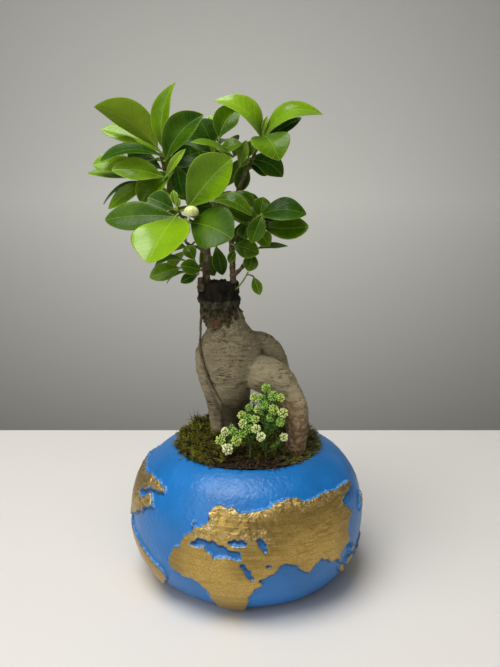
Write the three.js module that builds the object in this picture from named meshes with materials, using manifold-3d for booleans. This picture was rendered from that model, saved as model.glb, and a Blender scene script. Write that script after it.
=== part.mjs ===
// A ginseng ficus bonsai in a round pot whose wall carries the land masses of a world map.
// Millimetres, +Z up. The origin is the middle of the pot's flat underside, the front looks along -Y.

import * as THREE from 'three';
import { mergeVertices } from 'three/addons/utils/BufferGeometryUtils.js';
import Module from 'manifold-3d';

const wasm = await Module();
wasm.setup();

// Driving dimensions of the pot
const reliefHeight = 2;
const potSides = 32;
const cavitySides = 20;
const potHeight = 86;
const mouthRadius = 45;
const floorHeight = 7;
const potWall = [
  [46, 0], [56.5, 2.5], [63.4, 8], [70.4, 19], [74.4, 33], [74.8, 48], [71.2, 64], [63, 76.4], [55, 82.6],
  [50.5, 85], [47, potHeight],
];
const potCavity = [
  [mouthRadius, 85], [44, 82], [55.5, 76], [65, 64], [69.3, 45], [67, 25], [57, 12], [46, floorHeight],
];

// Driving dimensions of the fill and of the plant
const clearance = 0.3;
const holeClearance = 0.4;
const soilTop = 81;
const mossRings = [11, 22, 32, 40.5];
const mossRim = [[46.6, 87.2], [46, 86.4], [43.9, 86.3], [43.2, soilTop + clearance]];
const mossSides = 22;
const mossCrown = 88.6;
const bladeThickness = 0.68;
const petioleRadius = 0.65;
const petioleLength = 6;
const goldenAngle = 137.5;

// Where the viewer's eye is. A reading (x, height) is taken in the upright plane through the pot's axis,
// and a thing nearer or further than that plane stays on the same line of sight.
const eye = { x: 1.4, distance: 433, height: 252 };

const colours = {
  blue: 0x1f6fc4,
  earth: 0x3a2a1c,
  moss: 0x4c5418,
  bark: 0x8a8068,
  leaf: 0x3f7d12,
  fig: 0xdfe38a,
  flower: 0xa9c95a,
};

function place(x, height, depth) {
  const scale = 1 + depth / eye.distance;
  return new THREE.Vector3(
    eye.x + (x - eye.x) * scale,
    depth,
    eye.height + (height - eye.height) * scale,
  );
}

// Solids

function solidFrom(points, triangles) {
  const vertProperties = new Float32Array(points.flatMap((p) => [p.x, p.y, p.z]));
  const triVerts = new Uint32Array(triangles.flat());
  return new wasm.Manifold(new wasm.Mesh({ numProp: 3, vertProperties, triVerts }));
}

function solidFromGeometry(geometry) {
  geometry.deleteAttribute('normal');
  geometry.deleteAttribute('uv');
  const merged = mergeVertices(geometry, 1e-3);
  const position = merged.getAttribute('position');
  const points = [];
  for (let i = 0; i < position.count; i++) points.push(new THREE.Vector3().fromBufferAttribute(position, i));
  const triangles = [];
  for (let i = 0; i < merged.index.count; i += 3) {
    const [a, b, c] = [0, 1, 2].map((k) => merged.index.getX(i + k));
    if (a !== b && b !== c && c !== a) triangles.push([a, b, c]);
  }
  return solidFrom(points, triangles);
}

function join(solids) {
  return solids.reduce((whole, next) => whole.add(next));
}

// The largest connected body of a solid: what a cut leaves loose is dropped
function largestBody(solid) {
  return solid.decompose().reduce((best, body) => (body.volume() > best.volume() ? body : best));
}

function meshOf(name, solid, colour, roughness, metalness = 0) {
  const { numProp, vertProperties, triVerts } = solid.getMesh();
  const position = new Float32Array((vertProperties.length / numProp) * 3);
  for (let i = 0; i < position.length / 3; i++) {
    for (let k = 0; k < 3; k++) position[3 * i + k] = vertProperties[numProp * i + k];
  }
  const geometry = new THREE.BufferGeometry();
  geometry.setAttribute('position', new THREE.BufferAttribute(position, 3));
  geometry.setIndex(new THREE.BufferAttribute(new Uint32Array(triVerts), 1));
  geometry.computeVertexNormals();
  const mesh = new THREE.Mesh(geometry, new THREE.MeshStandardMaterial({ color: colour, roughness, metalness }));
  mesh.name = name;
  return mesh;
}

// A profile of [radius, height] pairs turned round the Z axis
function turned(profile, sides) {
  const points = profile.map(([radius, height]) => new THREE.Vector2(radius, height));
  const geometry = new THREE.LatheGeometry(points, sides);
  geometry.rotateX(Math.PI / 2);
  return solidFromGeometry(geometry);
}

// Rings of points, each with as many points as the others, closed by a point before and one after them.
// The squares between two rings are split the other way from the side called turnedFrom on.
function skinned(first, rings, last, turnedFrom = Infinity) {
  const sides = rings[0].length;
  const points = [first, ...rings.flat(), last];
  const triangles = [];
  const at = (ring, side) => 1 + ring * sides + (side % sides);
  for (let side = 0; side < sides; side++) {
    triangles.push([0, at(0, side + 1), at(0, side)]);
    for (let ring = 0; ring < rings.length - 1; ring++) {
      const [a, b, c, d] = [at(ring, side), at(ring, side + 1), at(ring + 1, side + 1), at(ring + 1, side)];
      if (side < turnedFrom) triangles.push([a, b, d], [b, c, d]);
      else triangles.push([a, b, c], [a, c, d]);
    }
    triangles.push([points.length - 1, at(rings.length - 1, side), at(rings.length - 1, side + 1)]);
  }
  return solidFrom(points, triangles);
}

// A round limb through stations of [x, height, depth, radius], fatter all round by grow
function limb(stations, steps, sides, grow = 0) {
  const curve = new THREE.CatmullRomCurve3(stations.map(([x, z, y]) => place(x, z, y)));
  const frames = curve.computeFrenetFrames(steps);
  const rings = [];
  for (let i = 0; i <= steps; i++) {
    const centre = curve.getPointAt(i / steps);
    const along = curve.getUtoTmapping(i / steps) * (stations.length - 1);
    const low = Math.min(Math.floor(along), stations.length - 2);
    const radius = THREE.MathUtils.lerp(stations[low][3], stations[low + 1][3], along - low) + grow;
    rings.push(Array.from({ length: sides }, (_, side) => {
      const angle = (2 * Math.PI * side) / sides;
      return centre.clone()
        .addScaledVector(frames.normals[i], radius * Math.cos(angle))
        .addScaledVector(frames.binormals[i], radius * Math.sin(angle));
    }));
  }
  const start = curve.getPointAt(0).addScaledVector(frames.tangents[0], -grow);
  const end = curve.getPointAt(1).addScaledVector(frames.tangents[steps], grow);
  return skinned(start, rings, end);
}

// The pot: a turned wall with land masses standing proud of it

// Land outlines: [bearing in degrees to the right of the front, height in mm]
const oldWorld = [
  [-19, 68], [-17, 71], [-14, 72.5], [-10, 71.5], [-6, 71.5], [-3, 69.5], [2, 70], [6, 70.5], [10, 71], [13, 73],
  [18, 74.5], [23, 74.3], [27, 73.8], [28, 72], [35, 72], [42, 72.5], [46, 72.8], [50, 72], [56, 71.5],
  [62, 71.5], [66, 71], [65, 68.5], [62, 66.5], [58, 67.5], [53, 65], [53, 63], [56, 60], [57, 56], [53, 52],
  [52, 48], [54, 44], [53, 40.5], [49, 38], [47, 35], [49, 32], [47.5, 29.5], [44, 33], [41, 33], [38, 36],
  [34, 38], [31, 36], [28, 31.5], [25, 34], [22, 38], [17, 41], [14, 40], [13, 37], [9, 34], [5, 31.5],
  [7, 28], [4, 26], [3, 24.5], [1, 21], [1, 17], [0, 12], [-1, 7], [-6, 3.5], [-12, 4], [-16, 8], [-18, 16],
  [-19, 22], [-21, 26], [-26, 27.5], [-30, 28], [-34, 30], [-37, 33], [-37, 38], [-35, 43], [-33, 46],
  [-31, 48], [-30, 53], [-28, 56], [-26, 57], [-24, 60], [-19, 62], [-18, 64],
];
const innerSeas = [
  [[-26, 49.5], [-24, 52], [-22, 54], [-19, 55], [-17, 54], [-15, 55], [-13, 52], [-9, 51.5], [-7, 49.5],
    [-3, 49], [-3, 45.5], [-6, 45.5], [-10, 46], [-13, 45.5], [-14, 44.5], [-16, 46.5], [-18, 48], [-19, 50.5],
    [-23, 49.5]],
  [[-8, 54], [-6, 56], [-4, 55.5], [-2, 56], [0, 54], [-1, 52.5], [-5, 52.5]],
  [[4, 56], [6, 57], [8, 53], [8.5, 50], [7, 49], [5.5, 52]],
  [[-3, 42], [-2, 42.5], [1, 38], [3, 33], [2, 32], [0, 35], [-2, 39]],
  [[7, 43], [8, 42.5], [10, 40.5], [9, 40]],
];
const northAmerica = [
  [-152, 66], [-146, 70], [-132, 71], [-118, 70.5], [-104, 72.5], [-90, 72.5], [-80, 74], [-70, 73], [-66, 75],
  [-60, 74.5], [-54, 74.5], [-48, 73], [-47, 71], [-52, 70.5], [-56, 69.5], [-59, 70], [-62, 67], [-67, 66],
  [-68, 62.5], [-64, 62], [-61, 64], [-57, 67.5], [-53, 65], [-51, 62], [-56, 60], [-60, 56], [-68, 50],
  [-75, 46], [-78, 43], [-85, 38], [-90, 39.5], [-95, 44], [-99, 43], [-103, 38], [-97, 34.5], [-92, 33],
  [-97, 32], [-106, 36.5], [-113, 42], [-118, 49], [-126, 55], [-134, 60], [-144, 61],
];
const southAmerica = [
  [-90, 37], [-84, 38], [-75, 37], [-67, 35], [-62, 33], [-52, 30], [-44, 26], [-42, 21], [-46, 14], [-53, 9],
  [-62, 6], [-72, 4], [-80, 3], [-86, 6], [-90, 14], [-95, 24], [-96, 31],
];
const australia = [
  [70, 14], [72, 20], [77, 24], [82, 27.5], [86, 26], [89, 27.5], [94, 23], [98, 17], [96, 10], [89, 7.5],
  [82, 10], [76, 9],
];
const islands = [
  [[-27, 60.5], [-26, 63.5], [-24.3, 63], [-24.5, 60.5]],
  [[47, 28], [50, 26.5], [55, 21], [57, 17.5], [54, 17.5], [49, 23]],
  [[56, 26], [59, 28.5], [62.5, 25.5], [61.5, 20.5], [57, 21.5]],
  [[56.5, 34], [59, 34.5], [60, 31], [57.5, 30.5]],
  [[69, 23.5], [74, 24.5], [79, 21.5], [76, 19], [70, 21]],
  [[69, 52], [72, 57], [76, 60.5], [75, 55], [71, 50]],
  [[104, 9], [107, 13], [110, 12], [107, 7]],
];
const longestPrismEdge = 28;
const prismReach = { inward: 4, outward: 16 };

// The radius of the pot's outer wall at a height, read along the straight runs of its profile
function wallRadius(height) {
  const next = Math.max(1, potWall.findIndex(([, level]) => level >= height));
  const [lowRadius, low] = potWall[next - 1];
  const [highRadius, high] = potWall[next];
  return THREE.MathUtils.mapLinear(height, low, high, lowRadius, highRadius);
}

// Triangles of an outline, split at the middle of each long side until none is longer than the limit
function fineTriangles(outline, holes) {
  const widest = Math.max(...potWall.map(([radius]) => radius));
  const arc = THREE.MathUtils.DEG2RAD * widest;
  const flat = (ring) => ring.map(([bearing, height]) => new THREE.Vector2(bearing * arc, height));
  const contour = flat(outline);
  const gaps = holes.map(flat);
  if (THREE.ShapeUtils.isClockWise(contour)) contour.reverse();
  gaps.forEach((gap) => { if (!THREE.ShapeUtils.isClockWise(gap)) gap.reverse(); });
  const points = [...contour, ...gaps.flat()];
  let triangles = THREE.ShapeUtils.triangulateShape(contour, gaps);
  const midpoints = new Map();
  const length = (a, b) => points[a].distanceTo(points[b]);
  const isLong = (a, b) => length(a, b) > longestPrismEdge;
  const midpoint = (a, b) => {
    const key = `${Math.min(a, b)} ${Math.max(a, b)}`;
    if (!midpoints.has(key)) midpoints.set(key, points.push(points[a].clone().lerp(points[b], 0.5)) - 1);
    return midpoints.get(key);
  };
  for (;;) {
    const edges = triangles.flatMap(([a, b, c]) => [[a, b], [b, c], [c, a]]).filter(([a, b]) => isLong(a, b));
    if (!edges.length) break;
    const [from, to] = edges.reduce((best, edge) => (length(...edge) > length(...best) ? edge : best));
    const split = ([a, b, c]) => {
      for (const [p, q, r] of [[a, b, c], [b, c, a], [c, a, b]]) {
        if ((p === from && q === to) || (p === to && q === from)) {
          const middle = midpoint(p, q);
          return [[p, middle, r], [middle, q, r]];
        }
      }
      return [[a, b, c]];
    };
    triangles = triangles.flatMap(split);
  }
  return { points: points.map((p) => [p.x / arc, p.y]), triangles };
}

// An outline made solid: a block that reaches from inside the wall to well outside it. It is cut to the
// height of the relief afterwards.
function landPrism(outline, holes = []) {
  const { points, triangles } = fineTriangles(outline, holes);
  const lifted = (offset) => points.map(([bearing, height]) => {
    const radius = wallRadius(height) + offset;
    const angle = bearing * THREE.MathUtils.DEG2RAD;
    return new THREE.Vector3(radius * Math.sin(angle), -radius * Math.cos(angle), height);
  });
  const count = points.length;
  const edges = new Map();
  for (const [a, b, c] of triangles) {
    for (const [p, q] of [[a, b], [b, c], [c, a]]) edges.set(`${p} ${q}`, [p, q]);
  }
  const rim = [...edges.values()].filter(([p, q]) => !edges.has(`${q} ${p}`));
  const walls = rim.flatMap(([p, q]) => [[p, p + count, q], [q, p + count, q + count]]);
  const under = triangles.map(([a, b, c]) => [c + count, b + count, a + count]);
  return solidFrom([...lifted(prismReach.outward), ...lifted(-prismReach.inward)], [...triangles, ...walls, ...under]);
}

function pot() {
  const outside = turned([[0, 0], ...potWall, [0, potHeight]], potSides);
  const proud = potWall.map(([radius, height]) => [radius + reliefHeight, height]);
  const raised = turned([[0, 0], ...proud, [0, potHeight]], potSides);
  const aboveRim = potHeight + 2;
  const mouth = [[0, aboveRim], [mouthRadius, aboveRim], ...potCavity, [0, floorHeight]].reverse();
  const land = [
    landPrism(oldWorld, innerSeas),
    landPrism(northAmerica),
    landPrism(southAmerica),
    landPrism(australia),
    ...islands.map((island) => landPrism(island)),
  ];
  return join([outside, join(land).intersect(raised)]).subtract(turned(mouth, cavitySides));
}

// The rootstock: a swollen body with four roots, a rough collar and the woody grafted stems

// Body sections: [left, right, height, depth of the middle, half depth]
const bodySections = [
  [-12, -6, 66, 2, 3.5], [-12.5, -5.5, 80, 2, 5], [-13.5, -5, 92, 2, 6.5], [-15.5, -3.6, 101, 2, 8],
  [-18.5, 0.2, 109, 1, 10], [-21.5, 1.8, 117, 0, 12.5], [-24.8, 3, 126, -1, 15.5], [-27.4, 6, 135, -1, 17.5],
  [-29, 8.2, 143, -1, 18.5], [-29.4, 8.2, 150, 0, 18], [-28, 6, 157, 1, 16], [-26, 1.6, 163, 2, 13.5],
  [-29.6, -2.6, 169, 2, 12.8], [-30.4, -4.6, 176, 2, 12.2], [-31.6, -5.2, 184, 2, 12], [-30.6, -6, 191, 2, 11],
];
const bodySides = 12;
const collarStart = 12;
const collarRoughness = 0.05;
const rootSides = 8;
const hangingRootSides = 3;

// Limbs: stations of [x, height, depth, radius]
const roots = {
  frontRight: [
    [-2, 134, -3, 9], [9, 132, -9, 11.2], [18.5, 127, -14, 11], [27.6, 114, -19, 9.4], [31.6, 101, -22.5, 7.2],
    [31.6, 90, -23.5, 6.9], [30.2, 78.4, -22, 6.7], [28.5, 68, -22, 5.2], [27.5, 60, -22, 3],
  ],
  backRight: [
    [-2, 150, 6, 10], [8, 149, 8, 10.6], [14.6, 143.5, 11, 9.9], [19, 133, 14, 8], [22.5, 119, 17, 7.2],
    [26, 105, 20, 6.8], [27, 94, 22, 6.4], [26.5, 82, 23, 5], [26, 74, 23.5, 3],
  ],
  left: [
    [-25.5, 154, 1, 3.5], [-28.2, 145, 0, 4.8], [-28.2, 136, 0, 4.8], [-26.3, 126, 1, 4.7], [-23.8, 117, 2, 4.8],
    [-21.6, 108, 3, 5], [-18.9, 98, 4, 5.2], [-17.5, 88, 5, 5.2], [-17, 78, 5.5, 4], [-16.8, 71, 6, 2.6],
  ],
  back: [
    [-12, 140, 10, 9], [-14, 128, 17, 8], [-16, 116, 22, 6.6], [-17, 104, 26, 6], [-17.5, 94, 28.5, 5.4],
    [-17.5, 84, 30, 3.8], [-17.5, 77, 30.5, 2.4],
  ],
};
const hangingRoot = [
  [-28.6, 170, -3.5, 0.9], [-29.8, 165, -3.5, 0.7], [-29.9, 158, -3.5, 0.7], [-30, 150, -4, 0.75],
  [-29.2, 141, -4.5, 0.75], [-27.6, 133, -5.5, 0.75], [-24.4, 122, -5.5, 0.75],
];
const woodyStems = {
  left: [
    [-25.8, 186, -1, 2.6], [-25.9, 198, -2, 2.3], [-25.1, 213, -3, 2.1], [-28, 226, -2, 1.9], [-33.5, 237, -1, 1.7],
    [-40, 246.8, -1, 1.5],
  ],
  leftFork: [[-27.3, 223, -2, 1.7], [-31.5, 226.5, -9, 1.4], [-34.6, 228.4, -17, 1.2]],
  right: [
    [-8.9, 186, 0, 2.2], [-9.4, 198, 0, 1.9], [-9.4, 209, 0, 1.8], [-11, 223, 1, 1.8], [-13.2, 236, 3, 1.8],
    [-10, 242, 3, 1.5], [-6, 246.7, 3, 1.3], [-2.6, 254.5, 2, 1.2], [1.2, 262, 1, 1.1],
  ],
  middleFork: [[-13, 234.5, 3, 1.5], [-18.4, 240, 4, 1.4], [-20, 249, 5, 1.2], [-19.4, 258, 6, 1.1]],
  frontMiddleFork: [[-12.8, 233.5, 2.5, 1.4], [-12.4, 237, -3, 1.2], [-11.6, 240, -7, 1]],
  sideFork: [[-9.4, 195, 0, 1.5], [-5.6, 198.2, -2, 1.3], [-2.8, 201.4, -3.5, 1.1]],
  rightFork: [[-10.6, 219, 0, 1.3], [-5.6, 221.5, -3.5, 1.1], [-2, 224, -6.5, 1]],
  lowLeftFork: [[-25.5, 203, -3, 1.4], [-28.6, 201.6, -6, 1.1], [-30.6, 200.8, -8, 1]],
  collarStub: [[-28.6, 186, -3, 2.6], [-29.6, 193.8, -4, 1.7]],
  backLeftFork: [[-30, 230, -1, 1.4], [-33.5, 232, 8, 1.2], [-37, 234, 16, 1]],
  backRightFork: [[-10.4, 217, 1, 1.3], [-6.5, 220, 8, 1.1], [-3, 222.5, 15, 1]],
  backFork: [[-12.6, 231, 2, 1.4], [-15, 235, 11, 1.2], [-18, 238, 20, 1]],
  lowBackFork: [[-25.2, 208, -3, 1.3], [-27, 210.5, 5, 1.1], [-30, 212.5, 12, 1]],
};

// A number from 0 to 1 that a seed fixes
function seededRandom(seed) {
  let state = seed;
  return () => {
    state = (state * 1103515245 + 12345) % 2147483648;
    return state / 2147483648;
  };
}

function rootstockBody(grow) {
  const random = seededRandom(7);
  const rings = bodySections.map(([left, right, height, depth, halfDepth], level) => (
    Array.from({ length: bodySides }, (_, side) => {
      const angle = (2 * Math.PI * side) / bodySides;
      const bump = level >= collarStart ? 1 + collarRoughness * (2 * random() - 1) : 1;
      const middle = place((left + right) / 2, height, depth);
      const scale = 1 + depth / eye.distance;
      middle.x += (bump * scale * (right - left) / 2 + grow) * Math.cos(angle);
      middle.y += (bump * halfDepth + grow) * Math.sin(angle);
      return middle;
    })
  ));
  const [first, last] = [bodySections[0], bodySections.at(-1)].map(([left, right, height, depth]) => (
    place((left + right) / 2, height, depth)
  ));
  last.z += 2;
  first.z -= 3 + grow;
  return skinned(first, rings, last);
}

function rootstock(grow = 0) {
  const thickRoots = Object.values(roots).map((stations) => limb(stations, stations.length - 1, rootSides, grow));
  return join([rootstockBody(grow), ...thickRoots]);
}

function wholeRootstock() {
  const stems = Object.values(woodyStems).map((stations) => (
    limb(stations, stations.length - 1, stations.length > 3 ? 6 : 4)));
  return join([rootstock(), limb(hangingRoot, hangingRoot.length - 1, hangingRootSides), ...stems]);
}

// Leaves

// The half width of a leaf along its length, as a share of its widest. At a bluntness of 0 the leaf is widest
// at its middle and pointed, at 1 it is a wedge that is widest near its round end.
function leafOutline(u, bluntness) {
  return Math.sin(Math.PI * u ** (0.9 + 0.5 * bluntness)) ** (0.95 - 0.35 * bluntness);
}

// Where the rings of a blade stand along it, for leaves of at least a half width
const bladeRows = [
  { from: 9.5, rows: [0.14, 0.38, 0.66, 0.89] },
  { from: 6, rows: [0.2, 0.52, 0.83] },
  { from: 0, rows: [0.28, 0.72] },
];

// A leaf is one skin of six-sided rings: two round its stalk, then rings across an arched blade of two
// halves folded along the midrib, and the tip. The midrib runs from base to tip, arches towards the upper
// face and bows sideways, and the blade turns about it by twist from base to tip.
function leafSolid({ base, tip, facing, halfWidth, arch, bow = 0, twist = 0, fold, bluntness = 0.5 }, node) {
  const run = tip.clone().sub(base);
  const e1 = run.clone().normalize();
  const e3 = facing.clone().addScaledVector(e1, -facing.dot(e1)).normalize();
  const e2 = e3.clone().cross(e1);
  const foldAngle = fold * THREE.MathUtils.DEG2RAD;
  const half = bladeThickness / 2 / Math.cos(foldAngle);
  const section = (u) => {
    const rise = 4 * u * (1 - u);
    const slope = 4 * (1 - 2 * u);
    const middle = base.clone().addScaledVector(run, u)
      .addScaledVector(e3, arch * rise).addScaledVector(e2, bow * rise);
    const along = run.clone().addScaledVector(e3, arch * slope).addScaledVector(e2, bow * slope).normalize();
    const side = e2.clone().addScaledVector(along, -e2.dot(along)).normalize();
    side.applyAxisAngle(along, twist * u * THREE.MathUtils.DEG2RAD);
    return { middle, along, side, normal: along.clone().cross(side) };
  };
  const bladeRing = (u) => {
    const { middle, side, normal } = section(u);
    const width = halfWidth * leafOutline(u, bluntness);
    const at = (across, offset) => middle.clone()
      .addScaledVector(side, across * width * Math.cos(foldAngle))
      .addScaledVector(normal, Math.abs(across) * width * Math.sin(foldAngle) + offset);
    return [at(1, half), at(0, half), at(-1, half), at(-1, -half), at(0, -half), at(1, -half)];
  };
  const stalkRing = (centre, along) => {
    const { side } = section(0);
    side.addScaledVector(along, -side.dot(along)).normalize();
    const normal = along.clone().cross(side);
    return [30, 90, 150, 210, 270, 330].map((degrees) => centre.clone()
      .addScaledVector(side, petioleRadius * Math.cos(degrees * THREE.MathUtils.DEG2RAD))
      .addScaledVector(normal, petioleRadius * Math.sin(degrees * THREE.MathUtils.DEG2RAD)));
  };
  const heading = base.clone().sub(node).normalize();
  const bend = heading.clone().add(section(0).along).normalize();
  const { rows } = bladeRows.find(({ from }) => halfWidth >= from);
  const rings = [stalkRing(node, heading), stalkRing(base, bend), ...rows.map(bladeRing)];
  return skinned(node, rings, section(1).middle, 3);
}

// Leaves placed one by one: base x, height, depth; tip x, height, depth; half width; arch; bow;
// roll of the upper face from the sky towards the front, twist and fold in degrees; bluntness
function placedLeaf([bx, bz, by, tx, tz, ty, halfWidth, arch, bow, roll, twist, fold, bluntness]) {
  const angle = roll * THREE.MathUtils.DEG2RAD;
  return {
    base: place(bx, bz, by),
    tip: place(tx, tz, ty),
    facing: new THREE.Vector3(0, -Math.sin(angle), Math.cos(angle)),
    halfWidth, arch, bow, twist, fold, bluntness,
  };
}

// Leaves placed by a rule: each stands a golden angle round the twig from the one before, the lowest are
// longest and spread widest, and every upper face looks along the twig and to the sky
function spiralLeaf(curve, { count, first, spread, length, from = 0.3, skyward = 0.5 }, index) {
  const share = count > 1 ? index / (count - 1) : 1;
  const place = THREE.MathUtils.lerp(from, 1, share);
  const node = curve.getPointAt(place);
  const axis = curve.getTangentAt(place);
  const level = new THREE.Vector3(0, 0, 1).cross(axis).normalize();
  const other = axis.clone().cross(level);
  const around = (first + index * goldenAngle) * THREE.MathUtils.DEG2RAD;
  const outward = level.multiplyScalar(Math.cos(around)).addScaledVector(other, Math.sin(around));
  const lean = THREE.MathUtils.lerp(spread[0], spread[1], share) * THREE.MathUtils.DEG2RAD;
  const heading = axis.clone().multiplyScalar(Math.cos(lean)).addScaledVector(outward, Math.sin(lean));
  const reach = THREE.MathUtils.lerp(length[0], length[1], share);
  const base = node.clone().addScaledVector(heading, petioleLength);
  return {
    base,
    tip: base.clone().addScaledVector(heading, reach),
    facing: axis.clone().multiplyScalar(Math.sin(lean)).addScaledVector(outward, -Math.cos(lean))
      .add(new THREE.Vector3(0, 0, skyward)),
    halfWidth: 0.27 * reach,
    arch: 0.08 * reach,
    fold: 14,
  };
}

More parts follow.
